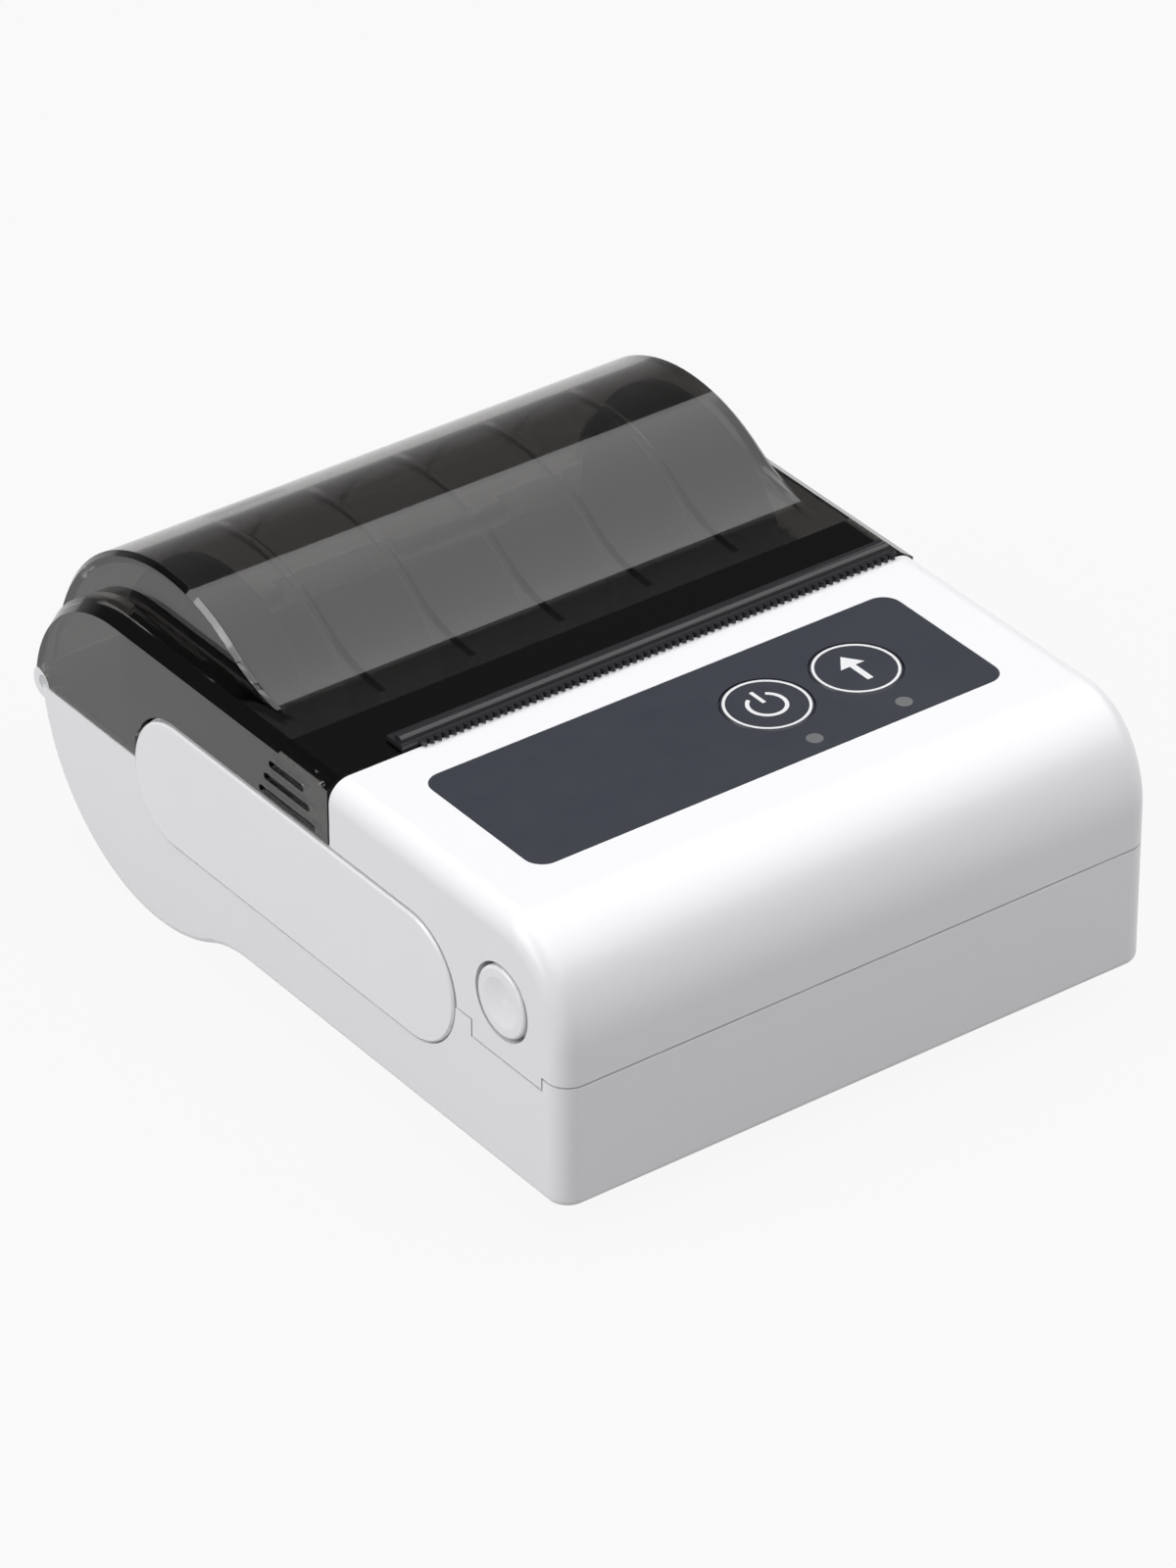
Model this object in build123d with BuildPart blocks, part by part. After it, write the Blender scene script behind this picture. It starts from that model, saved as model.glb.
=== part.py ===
from build123d import *
import math
import os

# Portable receipt printer for 80 mm rolls. Millimetres, +Z up, +X to the right of
# somebody facing the front, +Y to the back. The origin is on the table, under the
# middle of the printer's bounding box.

# Outer sizes of the case
case_width = 103.0
case_depth = 130.4
case_height = 56.5
underside_z = 5.5
parting_rise = 20.6
deck_rise = 41.6
wall = 2.2
corner_round = 3.4
bottom_round = 1.2
seam_gap = 0.3
fit_gap = 0.3

# Front nose, a quarter of an ellipse between the front face and the deck
nose_depth = 13.3
nose_drop = 15.9
split_depth = 54.0
split_gap = 0.4

# Steps of the front seam round the corner and under the release button
front_seam_rise = 19.8
side_seam_rise = 17.8
seam_step_depth = 4.5
seam_run_depth = 20.9

# Drum under the roll, which stands on the table, and the sweep that leads into it
drum_radius = 29.0
drum_inset = 3.0
sweep_radius = 21.8

# Smoked cover
shelf_lift = 0.1
cover_skin = 1.8
cover_side_skin = 2.0
ledge_round = 22.5
ledge_setback = 0.6
bevel_width = 2.2
bevel_drop = 1.5
dome_radius = 30.0
dome_margin = 4.7
dome_end_skin = 1.5
dome_edge_round = 0.7
flare_radius = 26.0
rib_count = 5
rib_thickness = 1.2
rib_depth = 0.8
rib_foot_rise = 33.0
grip_count = 3
grip_height = 1.2
grip_depth = 0.7
grip_pitch = 2.6
grip_length = 8.4
grip_growth = 2.6
grip_drop = 4.2
grip_back = 9.9

# Hinge along the back
hinge_barrel = 2.5
hinge_pin_radius = 1.0
hinge_play = 0.05
hinge_relief = 0.4
hinge_inset = 0.3
hinge_drop = 0.4
knuckle_count = 5
knuckle_gap = 0.4
knuckle_margin = 0.6

# Oval side panels, let into the lower case
panel_height = 20.6
panel_run = 57.5
panel_front = 24.5
panel_recess = 1.0
panel_proud = 0.3
panel_gap = 0.25

# Release button in the left side
button_hole_radius = 6.0
button_radius = 5.4
button_depth = 13.8
button_rise = 27.4
button_proud = 0.2
button_cap = 3.0
button_dish_radius = 16.0
button_dish = 0.45
button_stem_radius = 2.0
button_travel = 2.0

# Keypad on the deck
overlay_margin = 10.5
overlay_depth = 27.4
overlay_round = 3.0
overlay_thickness = 0.6
overlay_front = 19.8
key_radius = 6.85
key_gap = 0.15
key_spacing = 15.8
key_x = 9.2
key_depth = 34.0
key_travel = 0.4
lamp_depth = 23.2
lamp_radius = 1.25

# Platen, its bearings and the print head
platen_radius = 4.8
platen_end_gap = 0.3
platen_depth = 61.0
platen_rise = 32.0
shaft_radius = 2.0
shaft_bore_play = 0.05
bush_radius = 3.5
bush_flange = 4.4
head_gap = 0.3
head_plate = 0.9
heat_sink_thickness = 3.0
head_low = 25.0
head_high = 38.2
head_pivot_rise = 27.0

# Gear train on the left
module_size = 0.5
tooth_height = 0.4
tooth_root = 0.58
tooth_backlash = 0.1
pressure_angle = 20.0
platen_teeth = 20
small_teeth = 14
wheel_teeth = 36
motor_teeth = 12
wheel_back = 2.4
motor_drop = 7.4
wheel_width = 1.6
pinion_width = 2.2

# Paper bay
bay_radius = 24.4
bay_skin = 1.0
bay_shift_y = 0.7
bay_shift_z = 0.9
cheek_radius = 25.2
cheek_skin = 1.4
paper_from_left = 14.8
paper_from_right = 8.0

# Tear bar on the lip of the cover
tooth_pitch = 1.25
tooth_start = 16.1
tooth_reach = 1.2
tear_bar_depth = 3.8
tear_bar_plate = 1.0
tear_bar_seat = 0.3
tear_bar_end = 3.2
ridge_radius = 0.85
ridge_back = 1.7
ridge_trim = 0.5

# Power and boards
battery_length = 68.0
cell_radius = 9.2
cell_spacing = 18.3
battery_front = 5.4
door_thickness = 1.4
door_lip = 1.6
board_thickness = 1.6
main_board_rise = 25.0
key_board_drop = 5.6
screw_radius = 1.25
screw_head_radius = 2.4
screw_head_height = 1.4
post_radius = 3.0
foot_radius = 4.5
foot_seat = 0.6

# Places that follow from the sizes above
front = -case_depth / 2
back = case_depth / 2
side = case_width / 2
parting_z = underside_z + parting_rise
deck_z = underside_z + deck_rise
shelf_z = deck_z + shelf_lift
split_y = front + split_depth
lip_y = split_y + split_gap
drum_y = back - drum_inset - drum_radius
drum_z = drum_radius
dome_y = back - dome_radius
dome_z = case_height - dome_radius
dome_half = side - dome_margin
ledge_y = back - ledge_setback - ledge_round
ledge_z = shelf_z - ledge_round
hinge_y = back - hinge_inset - hinge_barrel
hinge_z = parting_z - hinge_drop
bay_y = drum_y + bay_shift_y
bay_z = drum_z - bay_shift_z
panel_y = front + panel_front + panel_height / 2 + panel_run / 2
platen_y = front + platen_depth
platen_z = underside_z + platen_rise
roll_left = -side + paper_from_left
roll_right = side - paper_from_right
roll_x = (roll_left + roll_right) / 2
paper_room = roll_right - roll_left
platen_length = paper_room - 2 * platen_end_gap
overlay_width = case_width - 2 * overlay_margin
floor_z = underside_z + wall

os.makedirs("parts", exist_ok=True)


def tangent_angle(low_y, low_z, high_y, high_z):
    """Direction in degrees from one centre to another."""
    return math.degrees(math.atan2(high_z - low_z, high_y - low_y))


def sweep_centre_y(arc_y, arc_z, arc_r, level_z, blend_r, below):
    """Where a blend circle sits that touches a level line and a round form."""
    blend_z = level_z - blend_r if below else level_z + blend_r
    return arc_y - math.sqrt((arc_r + blend_r) ** 2 - (arc_z - blend_z) ** 2)


def case_outline(inset):
    """Side view of the lower case, up to the parting line."""
    sweep_y = sweep_centre_y(drum_y, drum_z, drum_radius, underside_z, sweep_radius, True)
    sweep_z = underside_z - sweep_radius
    toward = tangent_angle(sweep_y, sweep_z, drum_y, drum_z)
    drum_r = drum_radius - inset
    last = math.degrees(math.asin((parting_z - drum_z) / drum_r))
    with BuildSketch() as view:
        with BuildLine():
            low = Line((front + inset, parting_z), (front + inset, underside_z + inset))
            bed = Line(low @ 1, (sweep_y, underside_z + inset))
            blend = CenterArc((sweep_y, sweep_z), sweep_radius + inset, 90, toward - 90)
            drum = CenterArc((drum_y, drum_z), drum_r, toward - 180, last + 180 - toward)
            Line(drum @ 1, low @ 0)
        make_face()
    return view.sketch


def nose_outline(inset, low_z, back_y):
    """Side view of the upper case, from a low level up over the nose to the deck."""
    with BuildSketch() as view:
        with BuildLine():
            face = Line((front + inset, low_z), (front + inset, deck_z - nose_drop))
            nose = EllipticalCenterArc(
                (front + nose_depth, deck_z - nose_drop),
                nose_depth - inset,
                nose_drop - inset,
                start_angle=90,
                arc_size=90,
            )
            deck = Line((front + nose_depth, deck_z - inset), (back_y, deck_z - inset))
            heel = Line(deck @ 1, (back_y, low_z))
            Line(heel @ 1, face @ 0)
        make_face()
    return view.sketch


def ledge_outline(inset, low_z):
    """Side view of the cover's sides and shelf."""
    radius = ledge_round - inset
    turn = math.degrees(math.asin((low_z - ledge_z) / radius))
    with BuildSketch() as view:
        with BuildLine():
            lip = Line((lip_y, low_z), (lip_y, shelf_z - inset))
            shelf = Line(lip @ 1, (ledge_y, shelf_z - inset))
            CenterArc((ledge_y, ledge_z), radius, 90, turn - 90)
            end_y = ledge_y + radius * math.cos(math.radians(turn))
            Line((end_y, low_z), lip @ 0)
        make_face()
    return view.sketch


def dome_outline(inset, low_z, shrink=0):
    """Side view of the round bulge over the roll, with its flare on to the shelf."""
    flare_y = sweep_centre_y(dome_y, dome_z, dome_radius - shrink, shelf_z, flare_radius, False)
    flare_z = shelf_z + flare_radius
    toward = tangent_angle(flare_y, flare_z, dome_y, dome_z)
    dome_r = dome_radius - shrink - inset
    turn = math.degrees(math.asin((low_z - dome_z) / dome_r))
    with BuildSketch() as view:
        with BuildLine():
            CenterArc((flare_y, flare_z), flare_radius + inset, -90, toward + 90)
            CenterArc((dome_y, dome_z), dome_r, toward + 180, turn - toward - 180)
            end_y = dome_y + dome_r * math.cos(math.radians(turn))
            base = Line((end_y, low_z), (flare_y, low_z))
            Line(base @ 1, (flare_y, shelf_z - inset))
        make_face()
    return view.sketch


def panel_outline(grow):
    """The oval of the side panels."""
    with BuildSketch() as view:
        with Locations((panel_y, parting_z)):
            SlotCenterToCenter(panel_run, panel_height + 2 * grow)
    return view.sketch


def knuckle_spans(of_case):
    """Start and length of each hinge knuckle of the case, or of the cover."""
    pitch = (case_width - 2 * knuckle_margin) / knuckle_count
    first = 0 if of_case else 1
    starts = range(first, knuckle_count, 2)
    return [(-side + knuckle_margin + pitch * n, pitch) for n in starts]


def rod(radius, start_x, length, y, z):
    """A round bar along X, as a separate solid."""
    with BuildPart() as bar:
        with BuildSketch(Plane.YZ.offset(start_x)):
            with Locations((y, z)):
                Circle(radius)
        extrude(amount=length)
    return bar.part


def post(radius, low_z, high_z, x, y):
    """A round bar along Z, as a separate solid."""
    with BuildPart() as bar:
        with BuildSketch(Plane.XY.offset(low_z)):
            with Locations((x, y)):
                Circle(radius)
        extrude(amount=high_z - low_z)
    return bar.part


def block(x_span, y_span, z_span):
    """A plain block between two values on each axis, as a separate solid."""
    with BuildPart() as body:
        with BuildSketch(Plane.XY.offset(z_span[0])):
            with Locations(((x_span[0] + x_span[1]) / 2, (y_span[0] + y_span[1]) / 2)):
                Rectangle(x_span[1] - x_span[0], y_span[1] - y_span[0])
        extrude(amount=z_span[1] - z_span[0])
    return body.part


def gear(teeth, width, start_x, y, z, phase, bore):
    """A spur gear on an X axis, with involute flanks; a tooth points along phase."""
    pitch_r = module_size * teeth / 2
    base_r = pitch_r * math.cos(math.radians(pressure_angle))
    tip_r = pitch_r + tooth_height
    root_r = pitch_r - tooth_root
    involute = math.tan(math.radians(pressure_angle)) - math.radians(pressure_angle)
    half = (math.pi * module_size / 2 - tooth_backlash) / 2 / pitch_r

    def flank(radius):
        lean = math.acos(min(1.0, base_r / radius))
        return half + involute - (math.tan(lean) - lean)

    radii = [root_r - 0.2, max(base_r, root_r), pitch_r, tip_r]
    with BuildPart() as wheel:
        with BuildSketch(Plane.YZ.offset(start_x)):
            with Locations((y, z)):
                Circle(root_r)
                with PolarLocations(0, teeth, start_angle=phase):
                    rising = [(r * math.cos(flank(r)), r * math.sin(flank(r))) for r in radii]
                    falling = [(a, -b) for a, b in reversed(rising)]
                    Polygon(*rising, *falling, align=None)
                if bore > 0:
                    Circle(bore, mode=Mode.SUBTRACT)
        extrude(amount=width)
    return wheel.part


def mesh_phase(from_yz, to_yz, from_teeth, to_teeth, from_phase):
    """Phase that puts a gap of the second gear on a tooth of the first."""
    line = tangent_angle(*from_yz, *to_yz)
    from_step = 360 / from_teeth
    to_step = 360 / to_teeth
    share = (line - from_phase) / from_step
    return line + 180 - to_step * (0.5 - share)


def screw(x, y, z, direction, length):
    """A pan-head screw whose head's seat is at the point, with its shank along direction."""
    with BuildPart() as fastener:
        with BuildSketch(Plane(origin=(x, y, z), z_dir=direction)):
            Circle(screw_radius - 0.05)
        extrude(amount=length)
        with BuildSketch(Plane(origin=(x, y, z), z_dir=direction)):
            Circle(screw_head_radius - 0.1)
        extrude(amount=-(screw_head_height - 0.1))
        top = Plane(origin=(x, y, z), z_dir=direction).offset(-(screw_head_height - 0.1))
        with BuildSketch(top):
            Rectangle(2.6, 0.6)
            Rectangle(0.6, 2.6)
        extrude(amount=0.7, mode=Mode.SUBTRACT)
    return fastener.part


# Lower case: a tub with the drum at its back and an oval tongue up each side
post_x = side - wall - post_radius - 0.8
post_y = front + wall + post_radius + 0.8
side_screw_y = front + 39.5
side_screw_z = underside_z + 26.5
door_half = battery_length / 2 + 1.5
door_front = front + battery_front - 0.8
door_back = door_front + 2 * cell_radius + cell_spacing + 1.6
door_screw_y = door_back - 3.0
door_seat = 0.8
door_head = 1.8
door_shank = 0.8
foot_x = side - 10.5
foot_y = front + 17.0
frame_screw_xs = (roll_left + 3.2, roll_right - 3.2)
frame_screw_ys = (front + 49.5, front + 64.5)
frame_seat_z = floor_z + 1.8
main_board_z = underside_z + main_board_rise - board_thickness

with BuildPart() as lower_case:
    with BuildSketch(Plane.YZ.offset(-side)):
        add(case_outline(0))
    extrude(amount=case_width)
    upright = lower_case.edges().filter_by(Axis.Z).group_by(Axis.Y)[0]
    fillet(upright, corner_round)
    rim = lower_case.edges().filter_by(lambda e: e.center().Z < parting_z - 4)
    rim = rim.filter_by(Axis.Z, reverse=True).filter_by(lambda e: abs(e.center().X) > side - corner_round)
    front_foot = lower_case.edges().filter_by(Axis.X).group_by(Axis.Y)[0].sort_by(Axis.Z)[0]
    fillet(rim + [front_foot], bottom_round)
    for outer_x, inner_x in ((-side, -side + wall), (side - wall, side)):
        with BuildSketch(Plane.YZ.offset(outer_x)):
            add(panel_outline(0))
        extrude(amount=inner_x - outer_x)
    with BuildSketch(Plane.YZ.offset(-side + wall)):
        add(case_outline(wall))
    extrude(amount=case_width - 2 * wall, mode=Mode.SUBTRACT)
    # Front seam: high round the corners, lower along the sides
    add(
        block((-side, side), (front, front + seam_step_depth),
              (underside_z + front_seam_rise, parting_z)),
        mode=Mode.SUBTRACT,
    )
    add(
        block((-side, side), (front + seam_step_depth, front + seam_run_depth),
              (underside_z + side_seam_rise, parting_z)),
        mode=Mode.SUBTRACT,
    )
    # Recesses for the side panels, and the side screws behind them
    for outer_x, amount in ((-side, panel_recess), (side, -panel_recess)):
        with BuildSketch(Plane.YZ.offset(outer_x)):
            add(panel_outline(0))
        extrude(amount=amount, mode=Mode.SUBTRACT)
    for sign in (-1, 1):
        boss_plane = Plane(origin=(sign * (side - wall), side_screw_y, side_screw_z), z_dir=(-sign, 0, 0))
        with BuildSketch(boss_plane):
            Circle(post_radius + 0.9)
        extrude(amount=2.0)
        seat_plane = boss_plane.offset(-(wall - panel_recess))
        with BuildSketch(seat_plane):
            Circle(screw_head_radius)
        extrude(amount=screw_head_height + 0.1, mode=Mode.SUBTRACT)
        with BuildSketch(seat_plane):
            Circle(screw_radius)
        extrude(amount=wall + 2.0, mode=Mode.SUBTRACT)
    # Posts for the two front screws, bored from below
    for sign in (-1, 1):
        add(post(post_radius, floor_z - 0.1, underside_z + side_seam_rise - 0.3, sign * post_x, post_y))
        head_room = post(screw_head_radius, underside_z, underside_z + 5.0, sign * post_x, post_y)
        add(head_room, mode=Mode.SUBTRACT)
        add(
            post(screw_radius, underside_z, underside_z + side_seam_rise, sign * post_x, post_y),
            mode=Mode.SUBTRACT,
        )
    # Seats for the print mechanism, the battery's walls and its door
    with BuildSketch(Plane.XY.offset(floor_z)):
        for seat_x in frame_screw_xs:
            with Locations([(seat_x, seat_y) for seat_y in frame_screw_ys]):
                Circle(post_radius)
    extrude(amount=frame_seat_z - floor_z)
    for seat_x in frame_screw_xs:
        for seat_y in frame_screw_ys:
            add(post(screw_radius, underside_z + 0.6, frame_seat_z, seat_x, seat_y), mode=Mode.SUBTRACT)
    with BuildSketch(Plane.XY.offset(floor_z)):
        for rib_x in (-door_half - 2.2, door_half + 1.0):
            with Locations((rib_x + 0.6, (door_front + door_back) / 2)):
                Rectangle(1.2, door_back - door_front - 6.0)
    extrude(amount=main_board_z - floor_z)
    with BuildSketch(Plane.XY.offset(underside_z)):
        with Locations((0, (door_front + door_back) / 2)):
            Rectangle(2 * door_half, door_back - door_front)
    extrude(amount=door_thickness + 0.1, mode=Mode.SUBTRACT)
    with BuildSketch(Plane.XY.offset(underside_z)):
        with Locations((0, (door_front + door_back) / 2)):
            Rectangle(2 * (door_half - door_lip), door_back - door_front - 2 * door_lip)
    extrude(amount=wall, mode=Mode.SUBTRACT)
    # Tab that the door's screw bites into
    tab_zs = (underside_z + door_thickness + 0.1, floor_z + 1.4)
    add(block((-3.5, 3.5), (door_screw_y - 2.4, door_back + 1.0), tab_zs))
    add(post(door_shank, underside_z, tab_zs[1], 0, door_screw_y), mode=Mode.SUBTRACT)
    # Seats for the rubber feet
    for sign in (-1, 1):
        foot_pocket = post(foot_radius + 0.1, underside_z, underside_z + foot_seat, sign * foot_x, foot_y)
        add(foot_pocket, mode=Mode.SUBTRACT)
    # Hinge knuckles, with room for the knuckles of the cover between them
    for start_x, length in knuckle_spans(True):
        add(rod(hinge_barrel, start_x + knuckle_gap / 2, length - knuckle_gap, hinge_y, hinge_z))
    for start_x, length in knuckle_spans(False):
        add(
            rod(hinge_barrel + hinge_relief, start_x - knuckle_gap / 2, length + knuckle_gap, hinge_y, hinge_z),
            mode=Mode.SUBTRACT,
        )
    add(rod(hinge_pin_radius + hinge_play, -side, case_width, hinge_y, hinge_z), mode=Mode.SUBTRACT)
lower_case.part.label = "lower_case"
export_step(lower_case.part, "parts/lower_case.step")

# Oval side panels, clipped into the tongues of the lower case
with BuildPart() as side_panel_left:
    with BuildSketch(Plane.YZ.offset(-side + panel_recess)):
        add(panel_outline(-panel_gap))
    extrude(amount=-(panel_recess + panel_proud))
    chamfer(side_panel_left.faces().sort_by(Axis.X)[0].edges(), panel_proud)
side_panel_left.part.label = "side_panel_left"
export_step(side_panel_left.part, "parts/side_panel_left.step")

with BuildPart() as side_panel_right:
    add(mirror(side_panel_left.part, about=Plane.YZ))
side_panel_right.part.label = "side_panel_right"
export_step(side_panel_right.part, "parts/side_panel_right.step")

# Battery door, flush with the underside, with a finger scoop at its front
with BuildPart() as battery_door:
    with BuildSketch(Plane.XY.offset(underside_z)):
        with Locations((0, (door_front + door_back) / 2)):
            RectangleRounded(2 * (door_half - 0.15), door_back - door_front - 0.3, 0.8)
    extrude(amount=door_thickness)
    with BuildSketch(Plane.XY.offset(underside_z)):
        with Locations((0, door_front + 5.0)):
            SlotOverall(14, 5)
    extrude(amount=0.7, mode=Mode.SUBTRACT)
    add(post(1.9, underside_z, underside_z + door_seat, 0, door_screw_y), mode=Mode.SUBTRACT)
    door_hole = post(door_shank + 0.1, underside_z, underside_z + door_thickness, 0, door_screw_y)
    add(door_hole, mode=Mode.SUBTRACT)
battery_door.part.label = "battery_door"
export_step(battery_door.part, "parts/battery_door.step")

# Rubber feet under the front; the drum is the third thing that the printer stands on
with BuildPart() as rubber_feet:
    for sign in (-1, 1):
        with BuildSketch(Plane.XY.offset(underside_z + foot_seat)):
            with Locations((sign * foot_x, foot_y)):
                Circle(foot_radius)
        extrude(amount=-(underside_z + foot_seat), taper=3)
rubber_feet.part.label = "rubber_feet"
export_step(rubber_feet.part, "parts/rubber_feet.step")

# Front screws, driven up from the underside, and side screws behind the panels
with BuildPart() as case_screws:
    for sign in (-1, 1):
        add(screw(sign * post_x, post_y, underside_z + 5.0, (0, 0, 1), 16.5))
        seat_x = sign * (side - panel_recess - screw_head_height - 0.1)
        add(screw(seat_x, side_screw_y, side_screw_z, (-sign, 0, 0), 4.2))
case_screws.part.label = "case_screws"
export_step(case_screws.part, "parts/case_screws.step")

# Upper case: nose, deck and the front of both sides
button_y = front + button_depth
button_z = underside_z + button_rise
key_y = front + key_depth
key_xs = (key_x, key_x + key_spacing)
lamp_y = front + lamp_depth
deck_under_z = deck_z - wall
key_board_z = deck_z - key_board_drop
low_edge_z = underside_z + side_seam_rise + seam_gap
overlay_y = front + overlay_front + overlay_depth / 2
board_xs = (key_x - 17.7, side - 14.0)
board_ys = (key_y - 11.0, key_y + 8.0)
pivot_x = -side + 9.0
pivot_y = front + 33.0
lever_low_z = underside_z + 26.0
lever_high_z = underside_z + 37.0
guide_length = 4.8
guide_plate = 0.8
usb_y = front + 14.0
usb_z = main_board_z + board_thickness + 1.4
jack_y = front + 22.2
jack_z = main_board_z + board_thickness + 3.2


def inward(sign, near, far):
    """An X span between two depths inwards from the left (-1) or right (1) side."""
    return sorted((sign * (side - near), sign * (side - far)))


with BuildPart() as upper_hollow:
    with BuildSketch(Plane.YZ.offset(-side + wall)):
        add(nose_outline(wall, low_edge_z - 1, split_y + 1))
    extrude(amount=case_width - 2 * wall)
    for sign in (-1, 1):
        add(post(post_radius, low_edge_z - 1, deck_z, sign * post_x, post_y), mode=Mode.SUBTRACT)

with BuildPart() as upper_case:
    with BuildSketch(Plane.YZ.offset(-side)):
        add(nose_outline(0, low_edge_z, split_y))
    extrude(amount=case_width)
    crown = upper_case.edges().filter_by(lambda e: abs(e.center().X) > side - 0.01)
    crown = crown.filter_by(lambda e: e.center().Y < split_y - 0.01 and e.center().Z > low_edge_z + 0.01)
    fillet(crown, corner_round)
    add(upper_hollow.part, mode=Mode.SUBTRACT)
    add(
        block((-side, side), (front - 1, front + seam_step_depth + seam_gap),
              (low_edge_z - 1, underside_z + front_seam_rise + seam_gap)),
        mode=Mode.SUBTRACT,
    )
    add(
        block((-side, side), (front + seam_run_depth - seam_gap, split_y + 1),
              (low_edge_z - 1, parting_z + seam_gap)),
        mode=Mode.SUBTRACT,
    )
    with BuildSketch(Plane.YZ.offset(-side)):
        add(panel_outline(seam_gap))
    extrude(amount=case_width, mode=Mode.SUBTRACT)
    # Recess for the overlay, with the openings for keys and indicators
    with BuildSketch(Plane.XY.offset(deck_z)):
        with Locations((0, overlay_y)):
            RectangleRounded(overlay_width, overlay_depth, overlay_round)
    extrude(amount=-overlay_thickness, mode=Mode.SUBTRACT)
    with BuildSketch(Plane.XY.offset(deck_z)):
        with Locations([(x, key_y) for x in key_xs]):
            Circle(key_radius)
        with Locations([(x, lamp_y) for x in key_xs]):
            Circle(lamp_radius)
    extrude(amount=-2 * wall, mode=Mode.SUBTRACT)
    # Posts for the key board and a boss for the pin of the release lever
    with BuildSketch(Plane.XY.offset(key_board_z)):
        with Locations([(x, y) for x in board_xs for y in board_ys]):
            Circle(2.2)
            Circle(0.75, mode=Mode.SUBTRACT)
    extrude(amount=deck_under_z - key_board_z)
    with BuildSketch(Plane.XY.offset(lever_high_z + fit_gap)):
        with Locations((pivot_x, pivot_y)):
            Circle(2.4)
            Circle(1.0, mode=Mode.SUBTRACT)
    extrude(amount=deck_under_z - lever_high_z - fit_gap)
    # Guide of the release button
    add(rod(button_hole_radius + 0.9, -side + wall, guide_length, button_y, button_z))
    add(
        rod(button_hole_radius, -side - 1, 1 + wall + guide_length - guide_plate, button_y, button_z),
        mode=Mode.SUBTRACT,
    )
    add(rod(button_stem_radius + 0.1, -side, 2 * guide_length, button_y, button_z), mode=Mode.SUBTRACT)
    # Bores of the front posts, and a lug behind each side screw
    for sign in (-1, 1):
        add(
            post(screw_radius, low_edge_z - 1, underside_z + 23.0, sign * post_x, post_y),
            mode=Mode.SUBTRACT,
        )
        lug_ys = (side_screw_y - 3.0, side_screw_y + 3.0)
        bridge_low_z = parting_z + panel_height / 2 + 2 * seam_gap
        bridge_high_z = lever_high_z - 3.6
        add(block(inward(sign, wall - 0.1, 7.0), lug_ys, (bridge_low_z, bridge_high_z)))
        add(block(inward(sign, wall + 2.0, 7.0), lug_ys, (side_screw_z - 4.0, bridge_low_z)))
        lug_bore = Plane(origin=(sign * side, side_screw_y, side_screw_z), z_dir=(-sign, 0, 0))
        with BuildSketch(lug_bore):
            Circle(screw_radius)
        extrude(amount=8.0, mode=Mode.SUBTRACT)
    # Openings in the right side for the data socket and the charging socket
    with BuildSketch(Plane.YZ.offset(side)):
        with Locations((usb_y, usb_z)):
            RectangleRounded(8.4, 3.4, 0.6)
        with Locations((jack_y, jack_z)):
            Circle(3.1)
    extrude(amount=-wall, mode=Mode.SUBTRACT)
upper_case.part.label = "upper_case"
export_step(upper_case.part, "parts/upper_case.step")

# Smoked cover: a bevelled ledge and shelf, and a ribbed dome that flares out of it
cover_low_z = parting_z + seam_gap
rib_pitch = 2 * dome_half / (rib_count + 1)
tooth_last_x = side - tear_bar_end - 1.1
tooth_count = 1 + math.floor((tooth_last_x + side - tooth_start) / tooth_pitch)
tooth_first_x = tooth_last_x - tooth_pitch * (tooth_count - 1)
tear_bar_xs = (tooth_first_x - tear_bar_end - 0.2, tooth_last_x + 1.1)
seat_z = shelf_z - tear_bar_seat

with BuildPart() as dome:
    for end_x, full_x in (
        (-dome_half, -dome_half + dome_edge_round),
        (dome_half, dome_half - dome_edge_round),
    ):
        with BuildSketch(Plane.YZ.offset(end_x)):
            add(dome_outline(0, cover_low_z, dome_edge_round))
        with BuildSketch(Plane.YZ.offset(full_x)):
            add(dome_outline(0, cover_low_z))
        loft(ruled=True)
    with BuildSketch(Plane.YZ.offset(-dome_half + dome_edge_round)):
        add(dome_outline(0, cover_low_z))
    extrude(amount=2 * (dome_half - dome_edge_round))

with BuildPart() as cover_hollow:
    with BuildSketch(Plane.YZ.offset(-side + cover_side_skin)):
        add(ledge_outline(cover_skin, cover_low_z - 1))
    extrude(amount=case_width - 2 * cover_side_skin)
    inner_half = side - cover_side_skin
    add(block((-inner_half, inner_half), (lip_y - 1, lip_y + 1), (cover_low_z - 1, shelf_z - cover_skin)))
    with BuildSketch(Plane.YZ.offset(-dome_half + dome_end_skin)):
        add(dome_outline(cover_skin, cover_low_z - 1))
    extrude(amount=2 * (dome_half - dome_end_skin))

with BuildPart() as ribs:
    for n in range(1, rib_count + 1):
        with BuildSketch(Plane.YZ.offset(-dome_half + rib_pitch * n - rib_thickness / 2)):
            add(dome_outline(cover_skin - 0.1, underside_z + rib_foot_rise))
            with Locations((dome_y, dome_z)):
                Circle(dome_radius - cover_skin - rib_depth, mode=Mode.SUBTRACT)
        extrude(amount=rib_thickness)

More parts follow.
